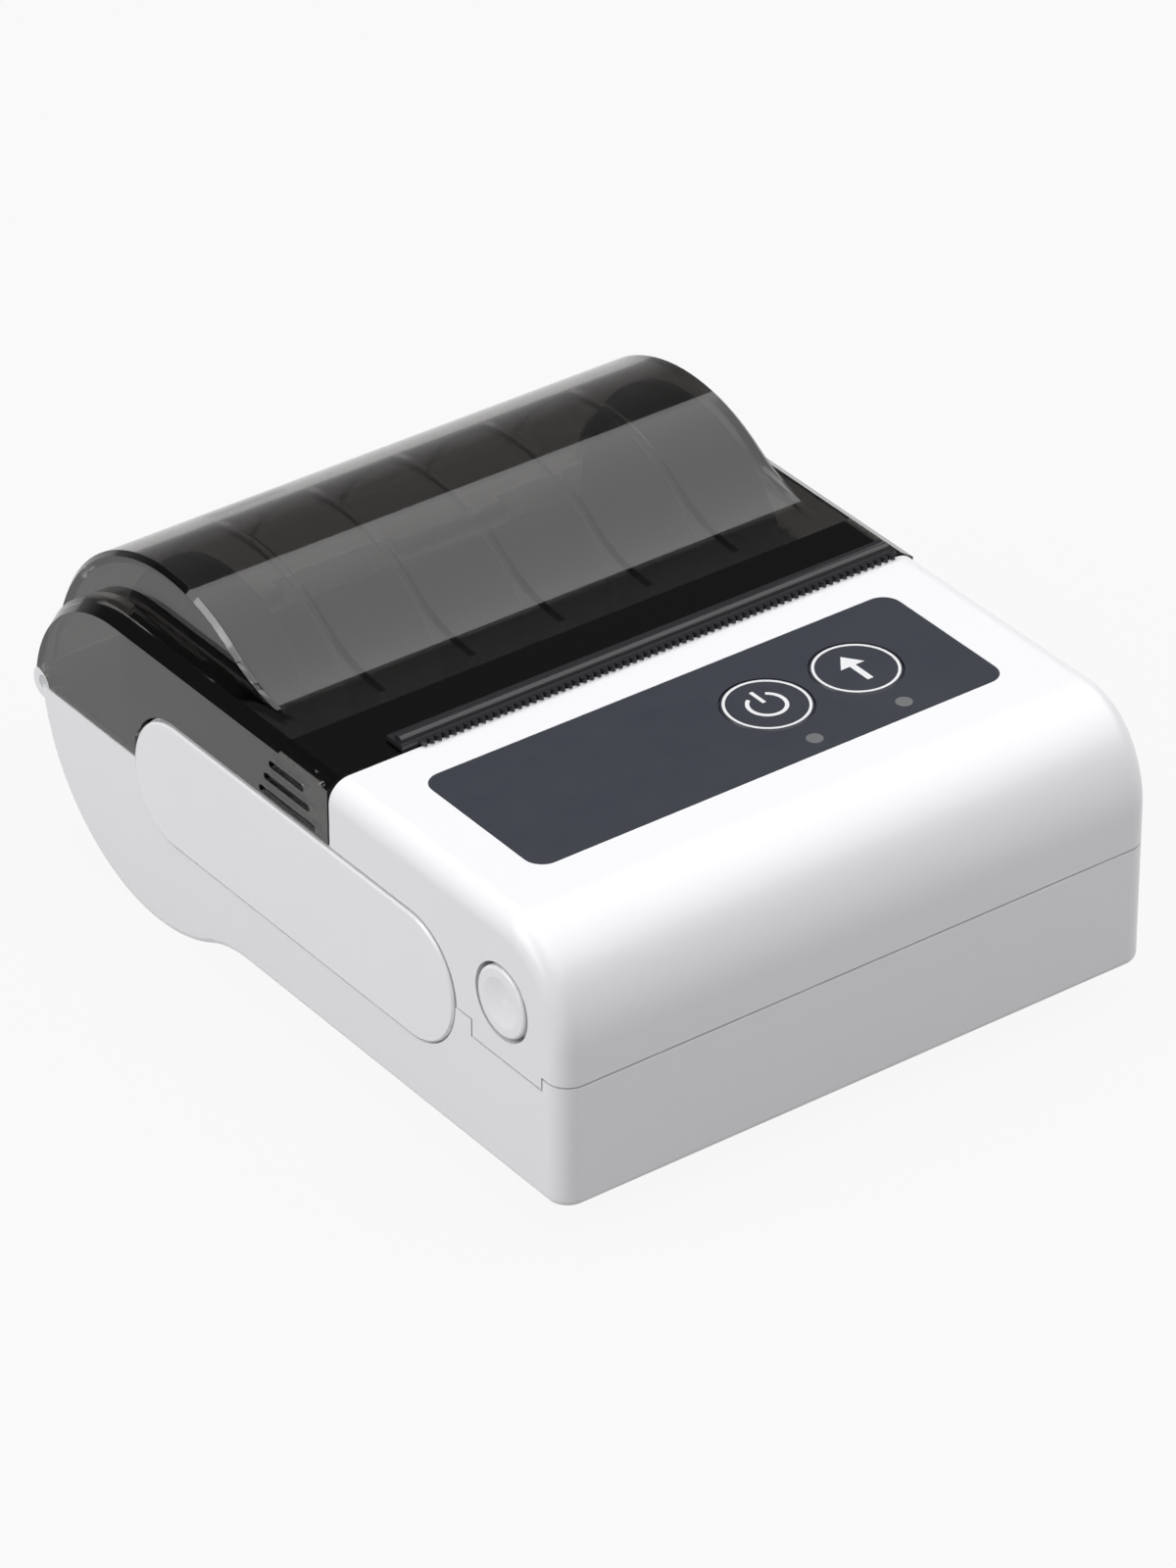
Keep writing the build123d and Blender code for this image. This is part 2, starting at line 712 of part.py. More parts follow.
with BuildPart() as cover:
    for outer_x, ledge_x in ((-side, -side + bevel_width), (side, side - bevel_width)):
        with BuildSketch(Plane.YZ.offset(outer_x)):
            add(ledge_outline(bevel_drop, cover_low_z))
        with BuildSketch(Plane.YZ.offset(ledge_x)):
            add(ledge_outline(0, cover_low_z))
        loft(ruled=True)
    with BuildSketch(Plane.YZ.offset(-side + bevel_width)):
        add(ledge_outline(0, cover_low_z))
    extrude(amount=case_width - 2 * bevel_width)
    add(dome.part)
    add(cover_hollow.part, mode=Mode.SUBTRACT)
    add(ribs.part)
    with BuildSketch(Plane.YZ.offset(-side)):
        add(panel_outline(seam_gap + 0.05))
    extrude(amount=case_width, mode=Mode.SUBTRACT)
    # Grip grooves in both sides, longer towards the bottom
    for start_x, amount in ((-side, grip_depth), (side, -grip_depth)):
        with BuildSketch(Plane.YZ.offset(start_x)):
            for n in range(grip_count):
                with Locations((lip_y + grip_back, deck_z - grip_drop - grip_pitch * n)):
                    SlotOverall(grip_length + grip_growth * n, grip_height)
        extrude(amount=amount, mode=Mode.SUBTRACT)
    # Seat of the tear bar in the lip
    add(
        block(tear_bar_xs, (lip_y - 1, lip_y + tear_bar_depth), (seat_z, shelf_z + 1)),
        mode=Mode.SUBTRACT,
    )
    # Hinge knuckles, with room for the knuckles of the case between them
    for start_x, length in knuckle_spans(False):
        add(rod(hinge_barrel, start_x + knuckle_gap / 2, length - knuckle_gap, hinge_y, hinge_z))
    for start_x, length in knuckle_spans(True):
        add(
            rod(hinge_barrel + hinge_relief, start_x - knuckle_margin, length + 2 * knuckle_margin - 0.2,
                hinge_y, hinge_z),
            mode=Mode.SUBTRACT,
        )
    add(rod(hinge_pin_radius + hinge_play, -side, case_width, hinge_y, hinge_z), mode=Mode.SUBTRACT)
cover.part.label = "cover"
export_step(cover.part, "parts/cover.step")

# Tear bar: a row of teeth over the slot, and a half-round ridge along it
with BuildPart() as tear_bar:
    zigzag = [(tear_bar_xs[0], lip_y)]
    for n in range(tooth_count):
        tooth_x = tooth_first_x + tooth_pitch * n
        zigzag.append((tooth_x - tooth_pitch / 2, lip_y))
        zigzag.append((tooth_x, lip_y - tooth_reach))
    zigzag.append((tooth_last_x + tooth_pitch / 2, lip_y))
    zigzag.append((tear_bar_xs[1], lip_y))
    rear = lip_y + tear_bar_depth
    with BuildSketch(Plane.XY.offset(deck_z + 0.2)):
        Polygon(*zigzag, (tear_bar_xs[1], rear), (tear_bar_xs[0], rear), align=None)
    extrude(amount=seat_z + tear_bar_plate - deck_z - 0.2)
    add(block(tear_bar_xs, (lip_y, rear), (seat_z, seat_z + tear_bar_plate)))
    add(
        rod(ridge_radius, tear_bar_xs[0] + ridge_trim, tear_bar_xs[1] - tear_bar_xs[0] - 2 * ridge_trim,
            lip_y + ridge_back, seat_z + tear_bar_plate - 0.1)
    )
    add(
        block(tear_bar_xs, (lip_y, rear), (seat_z - 2, seat_z)),
        mode=Mode.SUBTRACT,
    )
tear_bar.part.label = "tear_bar"
export_step(tear_bar.part, "parts/tear_bar.step")

# Hinge pin
with BuildPart() as hinge_pin:
    add(rod(hinge_pin_radius, -side + 0.8, case_width - 1.6, hinge_y, hinge_z))
hinge_pin.part.label = "hinge_pin"
export_step(hinge_pin.part, "parts/hinge_pin.step")

# Keypad: overlay, two keys with their plungers, and the indicator windows
with BuildPart() as keypad_overlay:
    with BuildSketch(Plane.XY.offset(deck_z - overlay_thickness)):
        with Locations((0, overlay_y)):
            RectangleRounded(overlay_width - 0.2, overlay_depth - 0.2, overlay_round - 0.1)
        with Locations([(x, key_y) for x in key_xs]):
            Circle(key_radius, mode=Mode.SUBTRACT)
        with Locations([(x, lamp_y) for x in key_xs]):
            Circle(lamp_radius, mode=Mode.SUBTRACT)
    extrude(amount=overlay_thickness)
keypad_overlay.part.label = "keypad_overlay"
export_step(keypad_overlay.part, "parts/keypad_overlay.step")

key_cap_z = deck_z - 1.2
flange_z = deck_under_z - 0.05

with BuildPart() as power_key:
    add(post(key_radius - key_gap, key_cap_z, deck_z, key_xs[0], key_y))
    chamfer(power_key.edges().group_by(Axis.Z)[-1], 0.15)
power_key.part.label = "power_key"
export_step(power_key.part, "parts/power_key.step")

with BuildPart() as feed_key:
    add(post(key_radius - key_gap, key_cap_z, deck_z, key_xs[1], key_y))
    chamfer(feed_key.edges().group_by(Axis.Z)[-1], 0.15)
feed_key.part.label = "feed_key"
export_step(feed_key.part, "parts/feed_key.step")

with BuildPart() as power_plunger:
    add(post(key_radius - 1.1, flange_z, key_cap_z, key_xs[0], key_y))
    add(post(key_radius + 0.8, flange_z - 0.5, flange_z, key_xs[0], key_y))
    add(post(1.6, flange_z - 0.95, flange_z, key_xs[0], key_y))
power_plunger.part.label = "power_plunger"
export_step(power_plunger.part, "parts/power_plunger.step")

with BuildPart() as feed_plunger:
    add(post(key_radius - 1.1, flange_z, key_cap_z, key_xs[1], key_y))
    add(post(key_radius + 0.8, flange_z - 0.5, flange_z, key_xs[1], key_y))
    add(post(1.6, flange_z - 0.95, flange_z, key_xs[1], key_y))
feed_plunger.part.label = "feed_plunger"
export_step(feed_plunger.part, "parts/feed_plunger.step")

with BuildPart() as light_pipes:
    with BuildSketch(Plane.XY.offset(key_board_z + 0.8)):
        with Locations([(x, lamp_y) for x in key_xs]):
            Circle(lamp_radius)
    extrude(amount=key_board_drop - 0.8)
light_pipes.part.label = "light_pipes"
export_step(light_pipes.part, "parts/light_pipes.step")

# Key board, hung under the deck, with two switches and two lamps
board_centre = ((board_xs[0] + board_xs[1]) / 2, (board_ys[0] + board_ys[1]) / 2)
with BuildPart() as key_board:
    with BuildSketch(Plane.XY.offset(key_board_z - board_thickness)):
        with Locations(board_centre):
            RectangleRounded(board_xs[1] - board_xs[0] + 6, board_ys[1] - board_ys[0] + 6, 1.5)
        with Locations([(x, y) for x in board_xs for y in board_ys]):
            Circle(0.8, mode=Mode.SUBTRACT)
    extrude(amount=board_thickness)
    with BuildSketch(Plane.XY.offset(key_board_z)):
        with Locations([(x, lamp_y) for x in key_xs]):
            Rectangle(2.0, 1.2)
    extrude(amount=0.7)
key_board.part.label = "key_board"
export_step(key_board.part, "parts/key_board.step")

with BuildPart() as tact_switches:
    with BuildSketch(Plane.XY.offset(key_board_z)):
        with Locations([(x, key_y) for x in key_xs]):
            Rectangle(6, 6)
    extrude(amount=1.4)
    with BuildSketch(Plane.XY.offset(key_board_z + 1.4)):
        with Locations([(x, key_y) for x in key_xs]):
            Circle(1.6)
    extrude(amount=0.55)
tact_switches.part.label = "tact_switches"
export_step(tact_switches.part, "parts/tact_switches.step")

small_head = 1.6
small_shank = 0.7
with BuildPart() as key_board_screws:
    for x in board_xs:
        for y in board_ys:
            add(post(small_head, key_board_z - board_thickness - 1.0, key_board_z - board_thickness, x, y))
            add(post(small_shank, key_board_z - board_thickness, key_board_z + 2.6, x, y))
key_board_screws.part.label = "key_board_screws"
export_step(key_board_screws.part, "parts/key_board_screws.step")

# Release button, its spring and the lever that it turns
stem_end_x = -side + 7.15
with BuildPart() as release_button:
    add(rod(button_radius, -side - button_proud, button_cap, button_y, button_z))
    rim_edge = release_button.edges().group_by(Axis.X)[0]
    fillet(rim_edge, 0.5)
    dish_x = -side - button_proud + button_dish - button_dish_radius
    with BuildSketch(Plane.XZ.offset(-button_y)):
        with BuildLine():
            axis_line = Line((dish_x, button_z), (dish_x + button_dish_radius, button_z))
            bowl = CenterArc((dish_x, button_z), button_dish_radius, 0, 30)
            Line(axis_line @ 0, bowl @ 1)
        make_face()
    revolve(axis=Axis((dish_x, button_y, button_z), (1, 0, 0)), mode=Mode.SUBTRACT)
    stem_x = -side - button_proud + button_cap
    add(rod(button_stem_radius, stem_x, stem_end_x - stem_x, button_y, button_z))
    chamfer(release_button.edges().group_by(Axis.X)[-1], 0.8)
release_button.part.label = "release_button"
export_step(release_button.part, "parts/release_button.step")

release_wire = 0.25
release_coil = 3.6
release_turns = 2.4
spring_room = (stem_x, -side + wall + guide_length - guide_plate)
with BuildPart() as release_spring:
    with BuildLine():
        coil = Helix(
            pitch=(spring_room[1] - spring_room[0] - 2 * release_wire) / release_turns,
            height=spring_room[1] - spring_room[0] - 2 * release_wire,
            radius=release_coil,
            center=(spring_room[0] + release_wire, button_y, button_z),
            direction=(1, 0, 0),
        )
    with BuildSketch(Plane(origin=coil @ 0, z_dir=coil % 0)):
        RegularPolygon(release_wire, 6)
    sweep(path=coil, is_frenet=True)
release_spring.part.label = "release_spring"
export_step(release_spring.part, "parts/release_spring.step")

arm_xs = (pivot_x - 1.6, pivot_x + 1.4)
with BuildPart() as release_lever:
    add(post(3.0, lever_low_z, lever_high_z, pivot_x, pivot_y))
    add(block(arm_xs, (front + 11.5, pivot_y), (lever_low_z, lever_low_z + 3.0)))
    add(block(arm_xs, (pivot_y, lip_y + 0.5), (lever_high_z - 2.8, lever_high_z)))
    fillet(release_lever.edges().filter_by(Axis.Z).group_by(Axis.Y)[0], 1.0)
    fillet(release_lever.edges().filter_by(Axis.Z).group_by(Axis.Y)[-1], 1.0)
    add(post(1.05, lever_low_z, lever_high_z, pivot_x, pivot_y), mode=Mode.SUBTRACT)
release_lever.part.label = "release_lever"
export_step(release_lever.part, "parts/release_lever.step")

with BuildPart() as lever_pin:
    add(post(1.0, lever_low_z - fit_gap, deck_under_z - 0.2, pivot_x, pivot_y))
    add(post(2.0, lever_low_z - fit_gap - 0.6, lever_low_z - fit_gap, pivot_x, pivot_y))
lever_pin.part.label = "lever_pin"
export_step(lever_pin.part, "parts/lever_pin.step")

# Platen holder: a channel under the shelf with a cheek at each end of the platen
holder_top_z = shelf_z - cover_skin
holder_plate_z = holder_top_z - 1.8
holder_front = front + 55.2
holder_back = front + 67.0
holder_xs = (-side + 2.6, side - 2.6)
plate_width = 1.6
left_plate_x = roll_left - fit_gap - plate_width
right_plate_x = roll_right + fit_gap
left_cheek_xs = (left_plate_x - 4.5, left_plate_x - 2.3)
right_cheek_xs = (right_plate_x + plate_width + fit_gap, right_plate_x + plate_width + fit_gap + 1.7)
holder_screw_x = side - 12.5
holder_screw_xs = (-holder_screw_x, -holder_screw_x / 3, holder_screw_x / 3, holder_screw_x)
holder_screw_y = front + 62.4
shelf_screw_radius = 0.9
shelf_head_radius = 2.0

with BuildPart() as platen_holder:
    add(block(holder_xs, (holder_front, holder_back), (holder_plate_z, holder_top_z)))
    wall_z = platen_z + 1.0
    wall_xs = (left_plate_x + plate_width + 0.5, right_plate_x - 0.5)
    add(block(wall_xs, (holder_back - 0.8, holder_back), (wall_z, holder_plate_z)))
    for cheek_xs in (left_cheek_xs, right_cheek_xs):
        with BuildSketch(Plane.YZ.offset(cheek_xs[0])):
            with Locations((platen_y, platen_z)):
                Circle(5.2)
            with Locations((platen_y, (platen_z + holder_top_z - 0.5) / 2)):
                Rectangle(10.4, holder_top_z - 0.5 - platen_z)
        extrude(amount=cheek_xs[1] - cheek_xs[0])
    # Shoulder that the release lever stands behind
    add(block(left_cheek_xs, (holder_front, holder_front + 2.0), (platen_z + 1.5, holder_plate_z)))
    for cheek_xs in (left_cheek_xs, right_cheek_xs):
        cheek_width = cheek_xs[1] - cheek_xs[0]
        bush_hole = rod(bush_radius, cheek_xs[0] - 0.5, cheek_width + 1, platen_y, platen_z)
        add(bush_hole, mode=Mode.SUBTRACT)
    for x in holder_screw_xs:
        head_seat = post(shelf_head_radius + 0.1, holder_plate_z, holder_plate_z + 1.0, x, holder_screw_y)
        add(head_seat, mode=Mode.SUBTRACT)
        add(post(shelf_screw_radius, holder_plate_z, holder_top_z, x, holder_screw_y), mode=Mode.SUBTRACT)
platen_holder.part.label = "platen_holder"
export_step(platen_holder.part, "parts/platen_holder.step")

with BuildPart() as holder_screws:
    for x in holder_screw_xs:
        add(post(shelf_head_radius, holder_plate_z + 0.1, holder_plate_z + 1.0, x, holder_screw_y))
        add(post(shelf_screw_radius, holder_plate_z + 1.0, holder_top_z, x, holder_screw_y))
holder_screws.part.label = "holder_screws"
export_step(holder_screws.part, "parts/holder_screws.step")

# Platen: rubber roller on a steel shaft, with its gear and two flanged bearings
gear_x = left_cheek_xs[0] - pinion_width - 0.6
wheel_x = gear_x - wheel_width - 0.4
flange_width = 0.8
rubber_x = roll_x - platen_length / 2

with BuildPart() as platen_roller:
    add(rod(platen_radius, rubber_x, platen_length, platen_y, platen_z))
    add(rod(shaft_radius, rubber_x, platen_length, platen_y, platen_z), mode=Mode.SUBTRACT)
platen_roller.part.label = "platen_roller"
export_step(platen_roller.part, "parts/platen_roller.step")

shaft_xs = (gear_x - 0.2, right_cheek_xs[1] + 0.5)
with BuildPart() as platen_shaft:
    add(rod(shaft_radius, shaft_xs[0], shaft_xs[1] - shaft_xs[0], platen_y, platen_z))
    chamfer(platen_shaft.edges(), 0.3)
platen_shaft.part.label = "platen_shaft"
export_step(platen_shaft.part, "parts/platen_shaft.step")

with BuildPart() as platen_bushings:
    for body_xs, flange_x in (
        ((left_cheek_xs[0], left_plate_x + plate_width), left_cheek_xs[1]),
        ((right_plate_x, right_cheek_xs[1]), right_cheek_xs[1]),
    ):
        add(rod(bush_radius, body_xs[0], body_xs[1] - body_xs[0], platen_y, platen_z))
        add(rod(bush_flange, flange_x, flange_width, platen_y, platen_z))
    add(rod(shaft_radius + shaft_bore_play, -side, case_width, platen_y, platen_z), mode=Mode.SUBTRACT)
platen_bushings.part.label = "platen_bushings"
export_step(platen_bushings.part, "parts/platen_bushings.step")

# Gear train: platen gear, reduction gear with its small and large wheel, motor pinion
mesh_one = module_size * (platen_teeth + small_teeth) / 2
mesh_two = module_size * (wheel_teeth + motor_teeth) / 2
idler_y = platen_y - wheel_back
idler_z = platen_z - math.sqrt(mesh_one ** 2 - wheel_back ** 2)
motor_z = idler_z - motor_drop
motor_y = idler_y - math.sqrt(mesh_two ** 2 - motor_drop ** 2)
small_phase = mesh_phase((platen_y, platen_z), (idler_y, idler_z), platen_teeth, small_teeth, 0)
motor_phase = mesh_phase((idler_y, idler_z), (motor_y, motor_z), wheel_teeth, motor_teeth, 0)
pin_radius = 1.2
motor_shaft_radius = 0.75

with BuildPart() as platen_gear:
    add(gear(platen_teeth, pinion_width, gear_x, platen_y, platen_z, 0, shaft_radius))
platen_gear.part.label = "platen_gear"
export_step(platen_gear.part, "parts/platen_gear.step")

with BuildPart() as reduction_gear:
    add(gear(wheel_teeth, wheel_width, wheel_x, idler_y, idler_z, 0, 0))
    add(gear(small_teeth, pinion_width, gear_x, idler_y, idler_z, small_phase, 0))
    add(rod(2.6, wheel_x, gear_x - wheel_x, idler_y, idler_z))
    for n in range(5):
        angle = math.radians(72 * n)
        hole_y = idler_y + 6.0 * math.cos(angle)
        hole_z = idler_z + 6.0 * math.sin(angle)
        add(rod(1.6, wheel_x, wheel_width, hole_y, hole_z), mode=Mode.SUBTRACT)
    gear_bore = rod(pin_radius + shaft_bore_play, wheel_x, 2 * pinion_width + wheel_width, idler_y, idler_z)
    add(gear_bore, mode=Mode.SUBTRACT)
reduction_gear.part.label = "reduction_gear"
export_step(reduction_gear.part, "parts/reduction_gear.step")

with BuildPart() as motor_pinion:
    add(gear(motor_teeth, wheel_width, wheel_x, motor_y, motor_z, motor_phase, motor_shaft_radius))
motor_pinion.part.label = "motor_pinion"
export_step(motor_pinion.part, "parts/motor_pinion.step")

with BuildPart() as gear_pin:
    add(rod(pin_radius, wheel_x - 0.5, left_plate_x + plate_width - wheel_x + 0.5, idler_y, idler_z))
    add(rod(2.1, wheel_x - 0.5, 0.35, idler_y, idler_z))
    add(rod(2.3, gear_x + pinion_width + 0.2, left_plate_x - gear_x - pinion_width - 0.2, idler_y, idler_z))
gear_pin.part.label = "gear_pin"
export_step(gear_pin.part, "parts/gear_pin.step")

motor_radius = 7.2
motor_x = left_plate_x + plate_width
motor_shaft_depth = 6.0
with BuildPart() as stepper_motor:
    add(rod(motor_radius, motor_x, 15.0, motor_y, motor_z))
    with BuildSketch(Plane.YZ.offset(motor_x)):
        with Locations((motor_y, motor_z)):
            SlotOverall(21.0, 4.6, rotation=90)
    extrude(amount=0.8)
    add(rod(2.0, left_plate_x, plate_width, motor_y, motor_z))
    shaft_hole = motor_shaft_radius + shaft_bore_play
    motor_bore = rod(shaft_hole, left_plate_x, plate_width + motor_shaft_depth, motor_y, motor_z)
    add(motor_bore, mode=Mode.SUBTRACT)
stepper_motor.part.label = "stepper_motor"
export_step(stepper_motor.part, "parts/stepper_motor.step")

with BuildPart() as motor_shaft:
    shaft_length = motor_x + motor_shaft_depth - 0.2 - (wheel_x - 0.2)
    add(rod(motor_shaft_radius, wheel_x - 0.2, shaft_length, motor_y, motor_z))
motor_shaft.part.label = "motor_shaft"
export_step(motor_shaft.part, "parts/motor_shaft.step")

# Mechanism frame: two side plates with open notches for the platen's bearings,
# joined by a spring rail in front and a paper guide under the platen
head_pivot_y = front + 53.4
head_pivot_z = underside_z + head_pivot_rise
guide_clearance = 0.6
rail_ys = (front + 44.4, front + 46.0)
with BuildPart() as mechanism_frame:
    for plate_x in (left_plate_x, right_plate_x):
        with BuildSketch(Plane.YZ.offset(plate_x)):
            Polygon(
                (front + 43.4, frame_seat_z),
                (front + 72.0, frame_seat_z),
                (front + 72.0, underside_z + 32.0),
                (front + 68.5, underside_z + 37.0),
                (front + 47.0, underside_z + 37.0),
                (front + 43.4, underside_z + 33.5),
                align=None,
            )
            Polygon(
                (platen_y - bush_radius - fit_gap, platen_z),
                (platen_y - bush_radius - fit_gap, platen_z + 6.0),
                (platen_y + bush_radius + 2.4, platen_z + 6.0),
                (platen_y + bush_radius + fit_gap, platen_z),
                align=None,
                mode=Mode.SUBTRACT,
            )
            with Locations((platen_y, platen_z)):
                Circle(bush_radius + fit_gap, mode=Mode.SUBTRACT)
        extrude(amount=plate_width)
    plates_between = (motor_x, right_plate_x)
    add(block(plates_between, rail_ys, (underside_z + 24.0, underside_z + 33.5)))
    with BuildSketch(Plane.YZ.offset(plates_between[0])):
        Polygon(
            (front + 57.5, underside_z + 20.0),
            (front + 72.0, underside_z + 20.0),
            (front + 72.0, underside_z + 30.5),
            (front + 57.5, underside_z + 30.5),
            align=None,
        )
        with Locations((platen_y, platen_z)):
            Circle(platen_radius + guide_clearance, mode=Mode.SUBTRACT)
        with Locations((front + 66.5, underside_z + 23.5)):
            RectangleRounded(7.0, 5.0, 1.0, mode=Mode.SUBTRACT)
    extrude(amount=plates_between[1] - plates_between[0])
    for foot_xs in ((left_plate_x, roll_left + 7.2), (roll_right - 7.2, right_plate_x + plate_width)):
        add(block(foot_xs, (front + 45.5, front + 69.0), (frame_seat_z, frame_seat_z + plate_width)))
    for seat_x in frame_screw_xs:
        for seat_y in frame_screw_ys:
            foot_hole = post(screw_radius + 0.1, frame_seat_z, frame_seat_z + plate_width, seat_x, seat_y)
            add(foot_hole, mode=Mode.SUBTRACT)
    add(rod(2.0, left_plate_x, plate_width, motor_y, motor_z), mode=Mode.SUBTRACT)
    add(rod(pin_radius, left_plate_x, plate_width, idler_y, idler_z), mode=Mode.SUBTRACT)
    add(rod(1.55, -side, case_width, head_pivot_y, head_pivot_z), mode=Mode.SUBTRACT)
    sensor_xs = (-2.5, 2.5)
    sensor_ys = (front + 67.6, front + 71.0)
    add(block(sensor_xs, sensor_ys, (underside_z + 28.5, underside_z + 31)), mode=Mode.SUBTRACT)
mechanism_frame.part.label = "mechanism_frame"
export_step(mechanism_frame.part, "parts/mechanism_frame.step")

with BuildPart() as paper_sensor:
    add(block(sensor_xs, sensor_ys, (underside_z + 28.5, underside_z + 30.3)))
paper_sensor.part.label = "paper_sensor"
export_step(paper_sensor.part, "parts/paper_sensor.step")

with BuildPart() as frame_screws:
    for seat_x in frame_screw_xs:
        for seat_y in frame_screw_ys:
            add(screw(seat_x, seat_y, frame_seat_z + plate_width, (0, 0, -1), 4.4))
frame_screws.part.label = "frame_screws"
export_step(frame_screws.part, "parts/frame_screws.step")

# Print head on its heat sink, which rocks in the frame and is sprung against the platen
head_face_y = platen_y - platen_radius - head_gap
head_xs = (rubber_x, rubber_x + platen_length)
with BuildPart() as print_head:
    add(block(head_xs, (head_face_y - head_plate, head_face_y), (underside_z + 26.0, underside_z + 37.5)))
print_head.part.label = "print_head"
export_step(print_head.part, "parts/print_head.step")

sink_ys = (head_face_y - head_plate - heat_sink_thickness, head_face_y - head_plate)
fin_pitch = 7.2
with BuildPart() as heat_sink:
    add(block(head_xs, sink_ys, (underside_z + head_low, underside_z + head_high)))
    with BuildSketch(Plane.XZ.offset(-sink_ys[0])):
        with Locations((roll_x, underside_z + 34.8)):
            with GridLocations(fin_pitch, 1, 10, 1):
                Rectangle(3.2, 8.0)
    extrude(amount=-1.4, mode=Mode.SUBTRACT)
    trunnion_xs = (left_plate_x + 0.3, right_plate_x + plate_width - 0.3)
    add(rod(1.5, trunnion_xs[0], head_xs[0] - trunnion_xs[0], head_pivot_y, head_pivot_z))
    add(rod(1.5, head_xs[1], trunnion_xs[1] - head_xs[1], head_pivot_y, head_pivot_z))
heat_sink.part.label = "heat_sink"
export_step(heat_sink.part, "parts/heat_sink.step")

head_wire = 0.25
head_coil = 1.7
head_turns = 4
coil_xs = (roll_x - 2.5 * fin_pitch - fin_pitch / 2, roll_x + 2.5 * fin_pitch + fin_pitch / 2)
coil_length = sink_ys[0] - 0.2 - rail_ys[1] - 2 * head_wire
with BuildPart() as head_springs:
    for coil_x in coil_xs:
        with BuildLine():
            wire = Helix(
                pitch=coil_length / head_turns,
                height=coil_length,
                radius=head_coil,
                center=(coil_x, rail_ys[1] + head_wire, underside_z + 30.0),
                direction=(0, 1, 0),
            )
        with BuildSketch(Plane(origin=wire @ 0, z_dir=wire % 0)):
            RegularPolygon(head_wire, 6)
        sweep(path=wire, is_frenet=True)
head_springs.part.label = "head_springs"
export_step(head_springs.part, "parts/head_springs.step")

cable_z = main_board_z - 0.8
with BuildPart() as head_cable:
    with BuildLine(Plane.YZ.offset(6.0)) as cable_run:
        FilletPolyline(
            (front + 39.0, cable_z),
            (head_pivot_y, cable_z),
            (head_pivot_y, underside_z + head_low),
            radius=1.2,
        )
    with BuildSketch(Plane(origin=cable_run.line @ 0, x_dir=(1, 0, 0), z_dir=(0, 1, 0))):
        Rectangle(20.0, 0.3)
    sweep()
head_cable.part.label = "head_cable"
export_step(head_cable.part, "parts/head_cable.step")

# Paper bay: an open trough between two round cheeks
bay_rim = bay_radius + bay_skin
bay_front_angle = 180 - math.degrees(math.asin(8.4 / (bay_rim - bay_skin / 2)))
bay_back_angle = 360 - math.degrees(math.asin(2.6 / (bay_rim - bay_skin / 2)))
with BuildPart() as paper_bay:
    with BuildSketch(Plane.YZ.offset(roll_left)):
        with BuildLine():
            outer = CenterArc((bay_y, bay_z), bay_rim, bay_front_angle, bay_back_angle - bay_front_angle)
            inner = CenterArc((bay_y, bay_z), bay_radius, bay_front_angle, bay_back_angle - bay_front_angle)
            Line(outer @ 0, inner @ 0)
            Line(outer @ 1, inner @ 1)
        make_face()
    extrude(amount=paper_room)
    for cheek_x in (roll_left - cheek_skin, roll_right):
        add(rod(cheek_radius, cheek_x, cheek_skin, bay_y, bay_z))
    # Lip that the trough hooks over the paper guide with, and the rest under it
    lip_back = bay_y - math.sqrt(bay_rim ** 2 - 7.4 ** 2) + 0.5
    add(block((roll_left, roll_right), (front + 72.0, lip_back), (underside_z + 29.5, underside_z + 30.5)))
    rest_z = drum_z - math.sqrt((drum_radius - wall) ** 2 - 1) + 0.01
    for rest_x in (roll_x - 30.0, roll_x + 30.0):
        add(block((rest_x - 3, rest_x + 3), (drum_y - 1, drum_y + 1), (rest_z, bay_z - bay_radius - 0.5)))
paper_bay.part.label = "paper_bay"
export_step(paper_bay.part, "parts/paper_bay.step")

# Main board over the battery, with its chips and the two sockets in the right side
board_top_z = main_board_z + board_thickness
main_board_xs = (-side + 12.0, side - 7.5)
with BuildPart() as main_board:
    add(block(main_board_xs, (front + 9.6, front + 42.0), (main_board_z, board_top_z)))
    fillet(main_board.edges().filter_by(Axis.Z), 1.0)
main_board.part.label = "main_board"
export_step(main_board.part, "parts/main_board.step")

with BuildPart() as board_chips:
    for x, y, length, depth, height in (
        (-14.0, front + 24.0, 12.0, 12.0, 1.2),
        (6.0, front + 18.0, 8.0, 6.0, 1.0),
        (18.0, front + 33.0, 10.0, 5.0, 1.6),
        (-28.0, front + 36.0, 6.0, 4.0, 1.4),
    ):
        chip_xs = (x - length / 2, x + length / 2)
        chip_ys = (y - depth / 2, y + depth / 2)
        add(block(chip_xs, chip_ys, (board_top_z, board_top_z + height)))
    add(block((-5.0, 17.0), (front + 37.0, front + 39.0), (cable_z - 0.9, main_board_z)))
board_chips.part.label = "board_chips"
export_step(board_chips.part, "parts/board_chips.step")

with BuildPart() as usb_socket:
    with BuildSketch(Plane.YZ.offset(side - 0.4)):
        with Locations((usb_y, usb_z)):
            RectangleRounded(7.8, 2.8, 0.4)
    extrude(amount=-9.0)
    with BuildSketch(Plane.YZ.offset(side - 0.4)):
        with Locations((usb_y, usb_z)):
            RectangleRounded(6.8, 1.9, 0.3)
            Rectangle(5.0, 0.5, mode=Mode.SUBTRACT)
    extrude(amount=-6.0, mode=Mode.SUBTRACT)
usb_socket.part.label = "usb_socket"
export_step(usb_socket.part, "parts/usb_socket.step")

